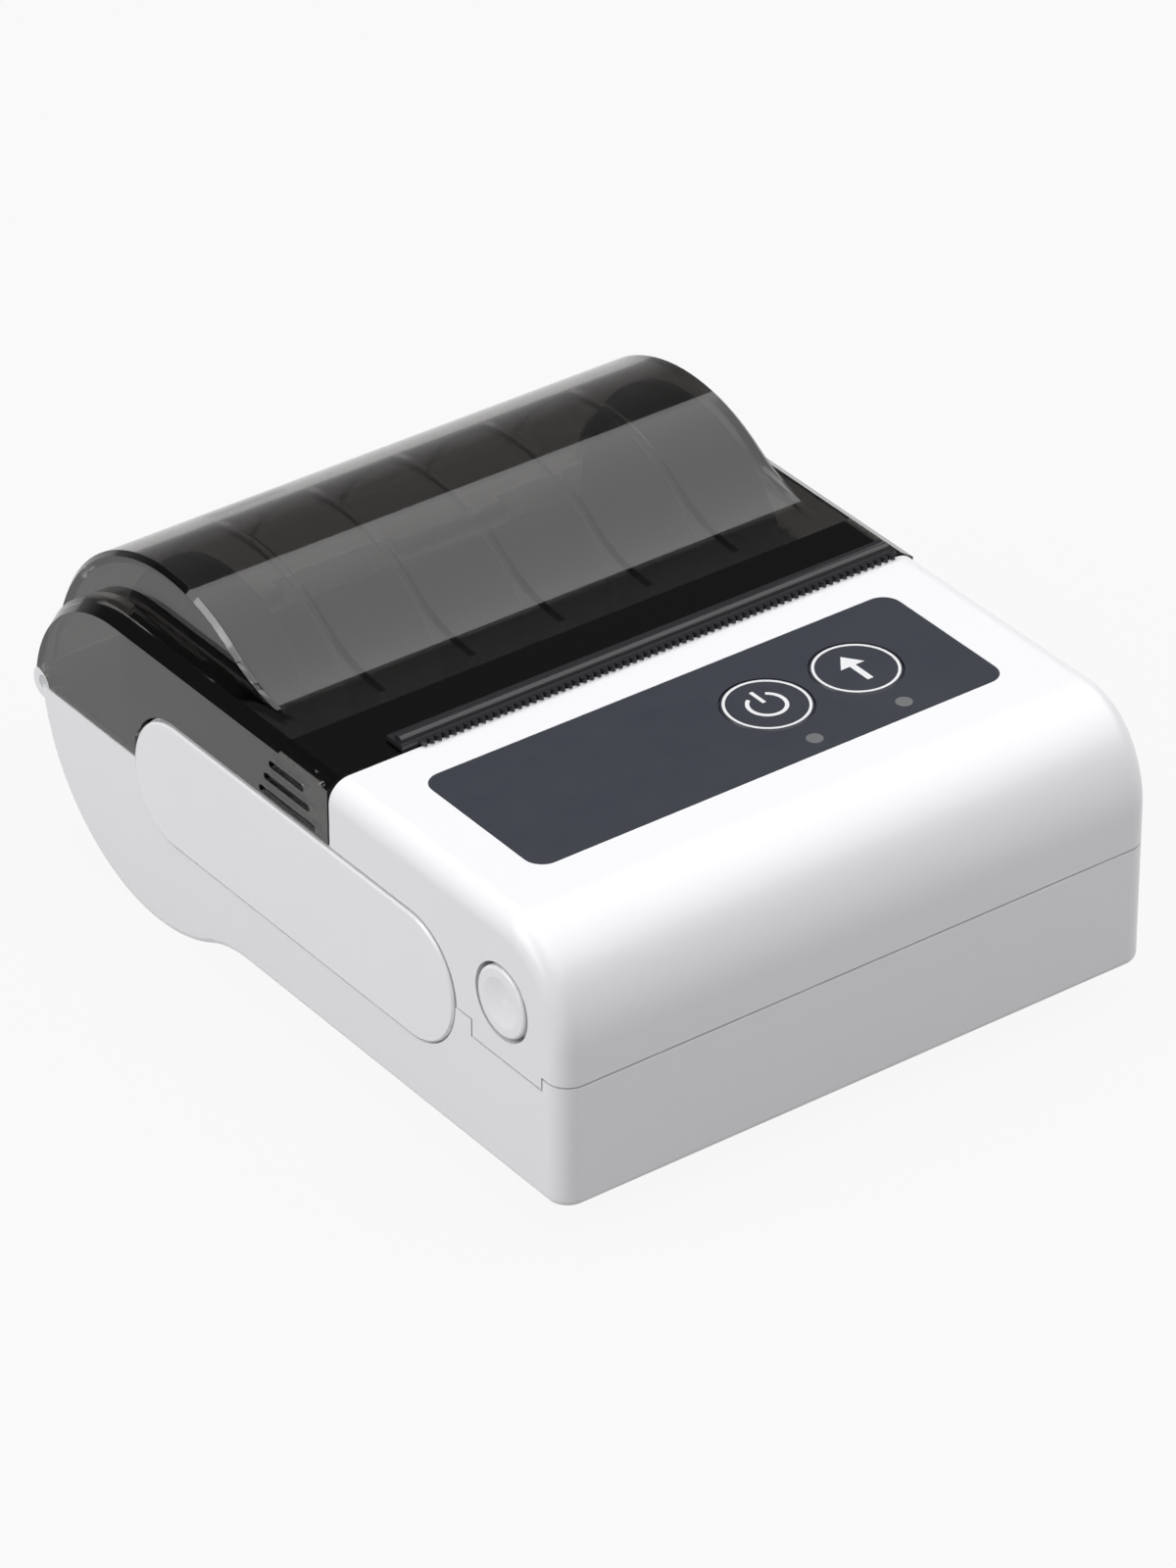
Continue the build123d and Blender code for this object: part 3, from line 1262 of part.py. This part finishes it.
with BuildPart() as charge_socket:
    add(
        block((side - 11.0, side - wall), (jack_y - 3.2, jack_y + 3.2), (board_top_z, board_top_z + 6.4))
    )
    add(rod(3.0, side - wall, wall - 0.5, jack_y, jack_z))
    add(rod(1.75, side - 9.0, 9.0, jack_y, jack_z), mode=Mode.SUBTRACT)
charge_socket.part.label = "charge_socket"
export_step(charge_socket.part, "parts/charge_socket.step")

# Battery: two cells side by side in one sleeve
cells_z = floor_z + 0.7 + cell_radius
with BuildPart() as battery_pack:
    with BuildSketch(Plane.YZ.offset(-battery_length / 2)):
        with Locations((front + battery_front + cell_radius + cell_spacing / 2, cells_z)):
            SlotCenterToCenter(cell_spacing, 2 * cell_radius)
    extrude(amount=battery_length)
    ends = battery_pack.faces().sort_by(Axis.X)
    chamfer(ends[0].edges() + ends[-1].edges(), 0.8)
battery_pack.part.label = "battery_pack"
export_step(battery_pack.part, "parts/battery_pack.step")

with BuildPart() as door_screw:
    add(post(door_head, underside_z + 0.1, underside_z + door_seat, 0, door_screw_y))
    add(post(door_shank, underside_z + door_seat, floor_z + 1.2, 0, door_screw_y))
door_screw.part.label = "door_screw"
export_step(door_screw.part, "parts/door_screw.step")
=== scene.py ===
import math

import bpy
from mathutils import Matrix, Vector


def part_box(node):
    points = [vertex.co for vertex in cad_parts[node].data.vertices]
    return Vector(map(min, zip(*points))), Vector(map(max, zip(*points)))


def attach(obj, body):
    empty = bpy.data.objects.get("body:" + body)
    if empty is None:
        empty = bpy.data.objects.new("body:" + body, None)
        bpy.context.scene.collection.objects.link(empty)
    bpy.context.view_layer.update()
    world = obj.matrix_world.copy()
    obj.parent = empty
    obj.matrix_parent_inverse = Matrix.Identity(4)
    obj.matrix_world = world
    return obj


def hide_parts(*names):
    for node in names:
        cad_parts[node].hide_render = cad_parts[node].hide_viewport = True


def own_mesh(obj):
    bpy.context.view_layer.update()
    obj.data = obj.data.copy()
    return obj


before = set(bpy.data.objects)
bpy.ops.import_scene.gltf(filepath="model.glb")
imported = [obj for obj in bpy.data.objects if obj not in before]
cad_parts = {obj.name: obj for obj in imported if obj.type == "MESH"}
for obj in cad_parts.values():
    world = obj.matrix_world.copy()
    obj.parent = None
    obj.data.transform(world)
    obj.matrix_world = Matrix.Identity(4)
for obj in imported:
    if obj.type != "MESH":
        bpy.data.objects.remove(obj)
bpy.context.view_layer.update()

# --- White case -----------------------------------------------------------------------
# Lower and upper case, injection moulded in glossy white ABS with a fine spark-eroded
# grain. The halves meet at the parting line and are screwed together from below.
case_grain = bpy.data.node_groups.new("moulded_grain", "ShaderNodeTree")
for label, kind in (
    ("Light", "NodeSocketColor"),
    ("Shade", "NodeSocketColor"),
    ("Grain", "NodeSocketFloat"),
    ("Smooth", "NodeSocketFloat"),
    ("Worn", "NodeSocketFloat"),
):
    case_grain.interface.new_socket(name=label, in_out="INPUT", socket_type=kind)
for label, kind in (
    ("Colour", "NodeSocketColor"),
    ("Roughness", "NodeSocketFloat"),
    ("Height", "NodeSocketFloat"),
):
    case_grain.interface.new_socket(name=label, in_out="OUTPUT", socket_type=kind)
grain_in = case_grain.nodes.new("NodeGroupInput")
grain_out = case_grain.nodes.new("NodeGroupOutput")
grain_place = case_grain.nodes.new("ShaderNodeTexCoord")
grain_fine = case_grain.nodes.new("ShaderNodeTexNoise")
grain_fine.inputs["Detail"].default_value = 3.0
grain_cloud = case_grain.nodes.new("ShaderNodeTexNoise")
grain_cloud.inputs["Scale"].default_value = 38.0
grain_cloud.inputs["Detail"].default_value = 4.0
grain_rub = case_grain.nodes.new("ShaderNodeTexNoise")
grain_rub.inputs["Scale"].default_value = 160.0
grain_rub.inputs["Detail"].default_value = 6.0
grain_rub.inputs["Roughness"].default_value = 0.65
grain_mix = case_grain.nodes.new("ShaderNodeMix")
grain_mix.data_type = "RGBA"
grain_range = case_grain.nodes.new("ShaderNodeMapRange")
grain_range.inputs["From Min"].default_value = 0.3
grain_range.inputs["From Max"].default_value = 0.7
tie = case_grain.links.new
for noise in (grain_fine, grain_cloud, grain_rub):
    tie(grain_place.outputs["Object"], noise.inputs["Vector"])
tie(grain_in.outputs["Grain"], grain_fine.inputs["Scale"])
tie(grain_cloud.outputs["Fac"], grain_mix.inputs["Factor"])
tie(grain_in.outputs["Light"], grain_mix.inputs["A"])
tie(grain_in.outputs["Shade"], grain_mix.inputs["B"])
tie(grain_rub.outputs["Fac"], grain_range.inputs["Value"])
tie(grain_in.outputs["Smooth"], grain_range.inputs["To Min"])
tie(grain_in.outputs["Worn"], grain_range.inputs["To Max"])
tie(grain_mix.outputs["Result"], grain_out.inputs["Colour"])
tie(grain_range.outputs["Result"], grain_out.inputs["Roughness"])
tie(grain_fine.outputs["Fac"], grain_out.inputs["Height"])


def grained(name, light, shade, grain, smooth, worn, depth):
    """A surface of two close colours in soft clouds, with a fine grain and rubbed patches."""
    material = bpy.data.materials.new(name)
    material.use_nodes = True
    tree = material.node_tree
    shader = tree.nodes["Principled BSDF"]
    grainy = tree.nodes.new("ShaderNodeGroup")
    grainy.node_tree = case_grain
    grainy.inputs["Light"].default_value = (*light, 1.0)
    grainy.inputs["Shade"].default_value = (*shade, 1.0)
    grainy.inputs["Grain"].default_value = grain
    grainy.inputs["Smooth"].default_value = smooth
    grainy.inputs["Worn"].default_value = worn
    bump = tree.nodes.new("ShaderNodeBump")
    bump.inputs["Strength"].default_value = 0.35
    bump.inputs["Distance"].default_value = depth
    tree.links.new(grainy.outputs["Colour"], shader.inputs["Base Color"])
    tree.links.new(grainy.outputs["Roughness"], shader.inputs["Roughness"])
    tree.links.new(grainy.outputs["Height"], bump.inputs["Height"])
    tree.links.new(bump.outputs["Normal"], shader.inputs["Normal"])
    return material


def set_shader(material, socket, value):
    """Sets one plain value on a material's shader."""
    material.node_tree.nodes["Principled BSDF"].inputs[socket].default_value = value


def finished(material, *nodes):
    """Gives CAD nodes their material."""
    for node in nodes:
        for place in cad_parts[node].material_slots:
            place.material = material


white_abs = grained(
    "white_abs",
    light=(0.80, 0.80, 0.82),
    shade=(0.78, 0.78, 0.802),
    grain=2600,
    smooth=0.285,
    worn=0.315,
    depth=0.000004,
)
set_shader(white_abs, "IOR", 1.53)
finished(white_abs, "lower_case", "upper_case", "battery_door")

# --- Side panels and release button ---------------------------------------------------
# Oval caps pressed into both sides and the dished button in the left one. Same ABS,
# from polished moulds, so they shine a little more than the case round them.
panel_abs = grained(
    "panel_abs",
    light=(0.82, 0.82, 0.84),
    shade=(0.80, 0.80, 0.822),
    grain=3200,
    smooth=0.22,
    worn=0.25,
    depth=0.000003,
)
finished(panel_abs, "side_panel_left", "side_panel_right", "release_button")

# --- Smoked cover ---------------------------------------------------------------------
# One piece of smoke-tinted clear styrene, polished outside. Faint flow marks and fine
# scratches from handling show in its shine.
smoke = bpy.data.materials.new("smoked_styrene")
smoke.use_nodes = True
smoke_tree = smoke.node_tree
smoke_shader = smoke_tree.nodes["Principled BSDF"]
smoke_shader.inputs["Transmission Weight"].default_value = 1.0
smoke_shader.inputs["IOR"].default_value = 1.57
smoke_grain = smoke_tree.nodes.new("ShaderNodeGroup")
smoke_grain.node_tree = case_grain
smoke_grain.inputs["Light"].default_value = (0.190, 0.182, 0.176, 1.0)
smoke_grain.inputs["Shade"].default_value = (0.160, 0.153, 0.148, 1.0)
smoke_grain.inputs["Grain"].default_value = 900
smoke_grain.inputs["Smooth"].default_value = 0.02
smoke_grain.inputs["Worn"].default_value = 0.07
smoke_bump = smoke_tree.nodes.new("ShaderNodeBump")
smoke_bump.inputs["Strength"].default_value = 0.04
smoke_bump.inputs["Distance"].default_value = 0.00001
smoke_tree.links.new(smoke_grain.outputs["Colour"], smoke_shader.inputs["Base Color"])
smoke_tree.links.new(smoke_grain.outputs["Roughness"], smoke_shader.inputs["Roughness"])
smoke_tree.links.new(smoke_grain.outputs["Height"], smoke_bump.inputs["Height"])
smoke_tree.links.new(smoke_bump.outputs["Normal"], smoke_shader.inputs["Normal"])
finished(smoke, "cover")

# --- Tear bar, platen holder and paper bay --------------------------------------------
# Glass-filled black plastics with a satin face, screwed or pressed in. The tear bar is
# polished along its ridge and teeth, the holder and bay have a coarser grain.
black_satin = grained(
    "black_satin",
    light=(0.018, 0.018, 0.02),
    shade=(0.026, 0.026, 0.029),
    grain=2600,
    smooth=0.32,
    worn=0.46,
    depth=0.00003,
)
finished(black_satin, "platen_holder", "paper_bay")
black_gloss = grained(
    "black_gloss",
    light=(0.016, 0.016, 0.018),
    shade=(0.022, 0.022, 0.025),
    grain=3600,
    smooth=0.14,
    worn=0.24,
    depth=0.00001,
)
finished(black_gloss, "tear_bar")

# --- Keypad overlay -------------------------------------------------------------------
# Printed film over the deck, slate grey, with a fine matt texture that breaks the
# lamps' shine. It is held by its own adhesive.
film = grained(
    "slate_film",
    light=(0.028, 0.032, 0.044),
    shade=(0.024, 0.028, 0.039),
    grain=7800,
    smooth=0.34,
    worn=0.42,
    depth=0.00002,
)
finished(film, "keypad_overlay")

# --- Keys -----------------------------------------------------------------------------
# Round keys under the same slate film, held by their plungers. Each has a printed white
# ring and a plain sign: a power symbol on one, a feed arrow on the other.
key_film = grained(
    "key_film",
    light=(0.030, 0.034, 0.046),
    shade=(0.026, 0.030, 0.041),
    grain=7800,
    smooth=0.32,
    worn=0.40,
    depth=0.00002,
)
finished(key_film, "power_key", "feed_key")
print_white = grained(
    "print_white",
    light=(0.74, 0.74, 0.75),
    shade=(0.66, 0.66, 0.68),
    grain=9000,
    smooth=0.42,
    worn=0.55,
    depth=0.00001,
)
ink_film = 0.00004


def printed(name, body, outline, faces):
    """A thin layer of ink on a key, raised from a flat outline of points and faces."""
    mesh = bpy.data.meshes.new(name)
    mesh.from_pydata(outline, [], faces)
    piece = bpy.data.objects.new(name, mesh)
    bpy.context.scene.collection.objects.link(piece)
    bpy.ops.object.select_all(action="DESELECT")
    bpy.context.view_layer.objects.active = piece
    piece.select_set(True)
    bpy.ops.object.mode_set(mode="EDIT")
    bpy.ops.mesh.select_all(action="SELECT")
    bpy.ops.mesh.extrude_region_move(TRANSFORM_OT_translate={"value": (0, 0, ink_film)})
    bpy.ops.mesh.select_all(action="SELECT")
    bpy.ops.mesh.normals_make_consistent(inside=False)
    bpy.ops.object.mode_set(mode="OBJECT")
    mesh.materials.append(print_white)
    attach(piece, body)


def band(middle, inner, outer, start, sweep, steps):
    """Points and faces of a flat arc round middle, angles in degrees anticlockwise from +X."""
    points = []
    for step in range(steps + 1):
        angle = math.radians(start + sweep * step / steps)
        for radius in (inner, outer):
            points.append(middle + Vector((radius * math.cos(angle), radius * math.sin(angle), 0)))
    faces = [(2 * step, 2 * step + 1, 2 * step + 3, 2 * step + 2) for step in range(steps)]
    return points, faces


def key_top(node):
    """The middle of a key's upper face."""
    low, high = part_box(node)
    return Vector(((low.x + high.x) / 2, (low.y + high.y) / 2, high.z))


power_top = key_top("power_key")
feed_top = key_top("feed_key")
ring_inner, ring_outer = 0.00592, 0.00634
printed("power_ring", "power", *band(power_top, ring_inner, ring_outer, 0, 360, 96))
printed("feed_ring", "feed", *band(feed_top, ring_inner, ring_outer, 0, 360, 96))
printed("power_arc", "power", *band(power_top, 0.0025, 0.0031, 122, 296, 64))
bar_half, bar_low, bar_high = 0.0003, 0.0006, 0.0038
power_bar = [power_top + Vector(place) for place in (
    (-bar_half, bar_low, 0),
    (bar_half, bar_low, 0),
    (bar_half, bar_high, 0),
    (-bar_half, bar_high, 0),
)]
printed("power_bar", "power", power_bar, [(0, 1, 2, 3)])
feed_arrow = [feed_top + Vector(place) for place in (
    (-0.0005, -0.0033, 0),
    (0.0005, -0.0033, 0),
    (0.0005, 0.0008, 0),
    (0.0021, 0.0008, 0),
    (0, 0.0036, 0),
    (-0.0021, 0.0008, 0),
    (-0.0005, 0.0008, 0),
)]
printed("feed_arrow", "feed", feed_arrow, [(0, 1, 2, 6), (6, 2, 3, 4), (5, 6, 4)])

# --- Key plungers ---------------------------------------------------------------------
# Grey moulded stems under the keys, clipped into the deck, that press the switches.
plunger_grey = grained(
    "plunger_grey",
    light=(0.19, 0.19, 0.20),
    shade=(0.15, 0.15, 0.16),
    grain=3000,
    smooth=0.42,
    worn=0.55,
    depth=0.00003,
)
finished(plunger_grey, "power_plunger", "feed_plunger")

# --- Light pipes ----------------------------------------------------------------------
# Two milky acrylic pegs that bring the lamps' light up to the overlay.
pipe_milk = grained(
    "pipe_milk",
    light=(0.16, 0.165, 0.17),
    shade=(0.13, 0.135, 0.14),
    grain=1800,
    smooth=0.20,
    worn=0.30,
    depth=0.00001,
)
set_shader(pipe_milk, "Coat Weight", 0.6)
finished(pipe_milk, "light_pipes")

# --- Circuit boards -------------------------------------------------------------------
# Main board and key board: green solder mask over etched copper tracks. The boards are
# screwed to posts inside the case.
board_mask = bpy.data.materials.new("solder_mask")
board_mask.use_nodes = True
mask_tree = board_mask.node_tree
mask_shader = mask_tree.nodes["Principled BSDF"]
mask_place = mask_tree.nodes.new("ShaderNodeTexCoord")
mask_tracks = mask_tree.nodes.new("ShaderNodeTexBrick")
mask_tracks.inputs["Scale"].default_value = 420.0
mask_tracks.inputs["Color1"].default_value = (0.008, 0.085, 0.035, 1)
mask_tracks.inputs["Color2"].default_value = (0.010, 0.100, 0.042, 1)
mask_tracks.inputs["Mortar"].default_value = (0.022, 0.150, 0.065, 1)
mask_tracks.inputs["Mortar Size"].default_value = 0.06
mask_bump = mask_tree.nodes.new("ShaderNodeBump")
mask_bump.inputs["Distance"].default_value = 0.00004
mask_shader.inputs["Roughness"].default_value = 0.3
mask_tree.links.new(mask_place.outputs["Object"], mask_tracks.inputs["Vector"])
mask_tree.links.new(mask_tracks.outputs["Color"], mask_shader.inputs["Base Color"])
mask_tree.links.new(mask_tracks.outputs["Fac"], mask_bump.inputs["Height"])
mask_tree.links.new(mask_bump.outputs["Normal"], mask_shader.inputs["Normal"])
finished(board_mask, "main_board", "key_board")
chip_epoxy = grained(
    "chip_epoxy",
    light=(0.020, 0.020, 0.022),
    shade=(0.028, 0.028, 0.030),
    grain=5200,
    smooth=0.5,
    worn=0.65,
    depth=0.00004,
)
finished(chip_epoxy, "board_chips", "tact_switches", "paper_sensor")

# --- Steel parts ----------------------------------------------------------------------
# Zinc-plated screws, ground shafts, hinge pin, springs and the sockets' tin shells.
# Faint turning marks run across them.
bright_steel = grained(
    "bright_steel",
    light=(0.56, 0.57, 0.59),
    shade=(0.44, 0.45, 0.47),
    grain=2400,
    smooth=0.18,
    worn=0.38,
    depth=0.00002,
)
set_shader(bright_steel, "Metallic", 1.0)
finished(
    bright_steel,
    "case_screws",
    "holder_screws",
    "key_board_screws",
    "frame_screws",
    "door_screw",
    "hinge_pin",
    "lever_pin",
    "gear_pin",
    "platen_shaft",
    "motor_shaft",
    "head_springs",
    "usb_socket",
    "charge_socket",
)
motor_can = grained(
    "motor_can",
    light=(0.36, 0.36, 0.37),
    shade=(0.27, 0.27, 0.28),
    grain=1500,
    smooth=0.28,
    worn=0.5,
    depth=0.00003,
)
set_shader(motor_can, "Metallic", 1.0)
finished(motor_can, "stepper_motor")

# --- Release button's spring ----------------------------------------------------------
# Open coil of round spring wire between the button's cap and its guide. It is a fixed
# coil on the case and does not shorten as the button goes in.
coil_low, coil_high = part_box("release_spring")
coil_middle = (coil_low + coil_high) / 2
coil_length = coil_high.x - coil_low.x
wire_radius, coil_radius, coil_turns, steps_a_turn = 0.00025, 0.0036, 2.4, 28
coil_steps = round(coil_turns * steps_a_turn)
coil_line = bpy.data.curves.new("release_coil", "CURVE")
coil_line.dimensions = "3D"
coil_line.bevel_depth = wire_radius
coil_line.bevel_resolution = 3
coil_line.use_fill_caps = True
coil_path = coil_line.splines.new("POLY")
coil_path.points.add(coil_steps)
for step, point in enumerate(coil_path.points):
    angle = 2 * math.pi * step / steps_a_turn
    along = coil_low.x + wire_radius + (coil_length - 2 * wire_radius) * step / coil_steps
    across = coil_middle.y + coil_radius * math.cos(angle)
    up = coil_middle.z + coil_radius * math.sin(angle)
    point.co = (along, across, up, 1)
release_coil = bpy.data.objects.new("release_coil", coil_line)
bpy.context.scene.collection.objects.link(release_coil)
bpy.ops.object.select_all(action="DESELECT")
bpy.context.view_layer.objects.active = release_coil
release_coil.select_set(True)
bpy.ops.object.convert(target="MESH")
release_coil = bpy.context.object
release_coil.data.materials.clear()
release_coil.data.materials.append(bright_steel)
bpy.ops.object.shade_smooth_by_angle(angle=math.radians(40))
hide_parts("release_spring")
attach(release_coil, "case")
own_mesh(release_coil)

# --- Print head and heat sink ---------------------------------------------------------
# The glazed ceramic of the thermal line is bonded to an extruded aluminium sink.
sink_metal = grained(
    "sink_metal",
    light=(0.60, 0.61, 0.63),
    shade=(0.50, 0.51, 0.53),
    grain=1900,
    smooth=0.26,
    worn=0.42,
    depth=0.00003,
)
set_shader(sink_metal, "Metallic", 1.0)
finished(sink_metal, "heat_sink")
head_glaze = grained(
    "head_glaze",
    light=(0.60, 0.53, 0.42),
    shade=(0.52, 0.45, 0.35),
    grain=2400,
    smooth=0.12,
    worn=0.22,
    depth=0.00001,
)
finished(head_glaze, "print_head")

# --- Rubber ---------------------------------------------------------------------------
# The ground platen roller and the two soft feet, dull black with fine chalky patches.
ground_rubber = grained(
    "ground_rubber",
    light=(0.022, 0.022, 0.023),
    shade=(0.040, 0.040, 0.041),
    grain=4200,
    smooth=0.62,
    worn=0.82,
    depth=0.00005,
)
finished(ground_rubber, "platen_roller", "rubber_feet")

# --- Gears, bearings, lever and frame -------------------------------------------------
# Acetal gears and the release lever are creamy white, bearings and the mechanism's
# frame are dark glass-filled nylon.
acetal = grained(
    "acetal",
    light=(0.76, 0.72, 0.61),
    shade=(0.69, 0.65, 0.54),
    grain=2600,
    smooth=0.34,
    worn=0.48,
    depth=0.00002,
)
finished(acetal, "platen_gear", "reduction_gear", "motor_pinion", "release_lever")
nylon = grained(
    "nylon",
    light=(0.030, 0.030, 0.033),
    shade=(0.042, 0.042, 0.045),
    grain=2200,
    smooth=0.44,
    worn=0.6,
    depth=0.00004,
)
finished(nylon, "platen_bushings", "mechanism_frame")

# --- Head cable and battery -----------------------------------------------------------
# A white flat flexible cable from board to head, and the pack in its blue shrink
# sleeve, which is slightly wrinkled.
flat_cable = grained(
    "flat_cable",
    light=(0.70, 0.70, 0.68),
    shade=(0.60, 0.60, 0.58),
    grain=1400,
    smooth=0.35,
    worn=0.5,
    depth=0.00003,
)
finished(flat_cable, "head_cable")
shrink_sleeve = grained(
    "shrink_sleeve",
    light=(0.020, 0.075, 0.22),
    shade=(0.014, 0.058, 0.18),
    grain=420,
    smooth=0.24,
    worn=0.4,
    depth=0.0002,
)
finished(shrink_sleeve, "battery_pack")

# --- Floor ----------------------------------------------------------------------------
# A pale sheet under the printer that keeps its shadow and fades into the white room.
bpy.ops.mesh.primitive_plane_add(size=8.0, location=(0, 0, 0))
floor = bpy.context.object
floor.name = "floor"
floor_sheet = bpy.data.materials.new("floor_sheet")
floor_sheet.use_nodes = True
sheet_tree = floor_sheet.node_tree
sheet_shader = sheet_tree.nodes["Principled BSDF"]
sheet_shader.inputs["Roughness"].default_value = 0.9
sheet_shader.inputs["Base Color"].default_value = (0.28, 0.28, 0.28, 1)
sheet_glow = sheet_tree.nodes.new("ShaderNodeEmission")
sheet_glow.inputs["Strength"].default_value = 1.0
sheet_share = sheet_tree.nodes.new("ShaderNodeMath")
sheet_share.operation = "MULTIPLY"
sheet_share.inputs[1].default_value = 0.92
sheet_path = sheet_tree.nodes.new("ShaderNodeLightPath")
sheet_seen = sheet_tree.nodes.new("ShaderNodeMath")
sheet_seen.operation = "MAXIMUM"
sheet_mix = sheet_tree.nodes.new("ShaderNodeMixShader")
sheet_tree.links.new(sheet_path.outputs["Is Camera Ray"], sheet_seen.inputs[0])
sheet_tree.links.new(sheet_path.outputs["Is Transmission Ray"], sheet_seen.inputs[1])
sheet_shiny = sheet_tree.nodes.new("ShaderNodeMath")
sheet_shiny.operation = "MAXIMUM"
sheet_tree.links.new(sheet_path.outputs["Is Glossy Ray"], sheet_shiny.inputs[0])
sheet_tree.links.new(sheet_seen.outputs["Value"], sheet_shiny.inputs[1])
sheet_tree.links.new(sheet_shiny.outputs["Value"], sheet_share.inputs[0])
sheet_tree.links.new(sheet_share.outputs["Value"], sheet_mix.inputs["Fac"])
sheet_tree.links.new(sheet_shader.outputs["BSDF"], sheet_mix.inputs[1])
sheet_tree.links.new(sheet_glow.outputs["Emission"], sheet_mix.inputs[2])
sheet_out = sheet_tree.nodes["Material Output"]
sheet_tree.links.new(sheet_mix.outputs["Shader"], sheet_out.inputs["Surface"])
floor.data.materials.append(floor_sheet)

# --- Room -----------------------------------------------------------------------------
# White where the camera or the smoked cover looks past the printer, and at the horizon
# where shiny parts mirror it. As light it fades to a dark ceiling.
room = bpy.data.worlds.new("room")
bpy.context.scene.world = room
room.use_nodes = True
room_tree = room.node_tree
room_light = room_tree.nodes["Background"]
room_light.inputs["Strength"].default_value = 1.0
room_place = room_tree.nodes.new("ShaderNodeTexCoord")
room_axes = room_tree.nodes.new("ShaderNodeSeparateXYZ")
room_fade = room_tree.nodes.new("ShaderNodeValToRGB")
room_fade.color_ramp.elements[0].position = 0.05
room_fade.color_ramp.elements[0].color = (0.42, 0.42, 0.43, 1)
room_fade.color_ramp.elements[1].position = 0.40
room_fade.color_ramp.elements[1].color = (0.10, 0.10, 0.10, 1)
room_white = room_tree.nodes.new("ShaderNodeBackground")
room_white.inputs["Strength"].default_value = 1.0
room_path = room_tree.nodes.new("ShaderNodeLightPath")
room_seen = room_tree.nodes.new("ShaderNodeMath")
room_seen.operation = "MAXIMUM"
room_mix = room_tree.nodes.new("ShaderNodeMixShader")
room_tree.links.new(room_place.outputs["Generated"], room_axes.inputs["Vector"])
room_tree.links.new(room_axes.outputs["Z"], room_fade.inputs["Fac"])
room_tree.links.new(room_fade.outputs["Color"], room_light.inputs["Color"])
room_low = room_tree.nodes.new("ShaderNodeMath")
room_low.operation = "LESS_THAN"
room_low.inputs[1].default_value = 0.03
room_shiny = room_tree.nodes.new("ShaderNodeMath")
room_shiny.operation = "MULTIPLY"
room_all = room_tree.nodes.new("ShaderNodeMath")
room_all.operation = "MAXIMUM"
room_tree.links.new(room_path.outputs["Is Camera Ray"], room_seen.inputs[0])
room_tree.links.new(room_path.outputs["Is Transmission Ray"], room_seen.inputs[1])
room_tree.links.new(room_axes.outputs["Z"], room_low.inputs[0])
room_tree.links.new(room_low.outputs["Value"], room_shiny.inputs[0])
room_tree.links.new(room_path.outputs["Is Glossy Ray"], room_shiny.inputs[1])
room_tree.links.new(room_shiny.outputs["Value"], room_all.inputs[0])
room_tree.links.new(room_seen.outputs["Value"], room_all.inputs[1])
room_tree.links.new(room_all.outputs["Value"], room_mix.inputs["Fac"])
room_tree.links.new(room_light.outputs["Background"], room_mix.inputs[1])
room_tree.links.new(room_white.outputs["Background"], room_mix.inputs[2])
room_out = room_tree.nodes["World Output"]
room_tree.links.new(room_mix.outputs["Shader"], room_out.inputs["Surface"])


# --- Lamps ----------------------------------------------------------------------------
# One wide softbox hangs tilted over the right front: its image is the long band in the
# dome, with a brighter streak from a strip lamp. A smaller one stands at the left and
# another hangs behind it.
def softbox(name, place, turn, width, depth, power):
    """A rectangular lamp that shines down, turned by angles in degrees."""
    lamp = bpy.data.lights.new(name, "AREA")
    lamp.shape = "RECTANGLE"
    lamp.size = width
    lamp.size_y = depth
    lamp.energy = power
    holder = bpy.data.objects.new(name, lamp)
    bpy.context.scene.collection.objects.link(holder)
    holder.location = place
    holder.rotation_euler = [math.radians(angle) for angle in turn]


softbox("band_light", (0.45, -0.07, 0.80), (15, 0, 0), 1.6, 1.44, 13.0)
softbox("streak_light", (0.45, -0.32, 0.70), (0, 0, 0), 1.4, 0.07, 0.35)
softbox("left_light", (-1.0, 0.15, 0.5), (0, -62, 0), 0.6, 0.8, 5.4)
softbox("back_light", (-0.8, 0.35, 0.85), (-20, -40, 0), 0.6, 0.6, 3.0)

# --- Camera ---------------------------------------------------------------------------
# A long lens from the front left and above, as the photograph was taken.
lens = bpy.data.cameras.new("camera")
lens.lens = 187.1
lens.sensor_width = 36.0
lens.sensor_fit = "AUTO"
lens.clip_end = 20.0
camera = bpy.data.objects.new("camera", lens)
bpy.context.scene.collection.objects.link(camera)
camera.location = (-0.581786, -0.784239, 0.659968)
camera.rotation_euler = (math.radians(56.803), 0, math.radians(-36.63))
bpy.context.scene.camera = camera
bpy.context.scene.view_settings.view_transform = "Standard"
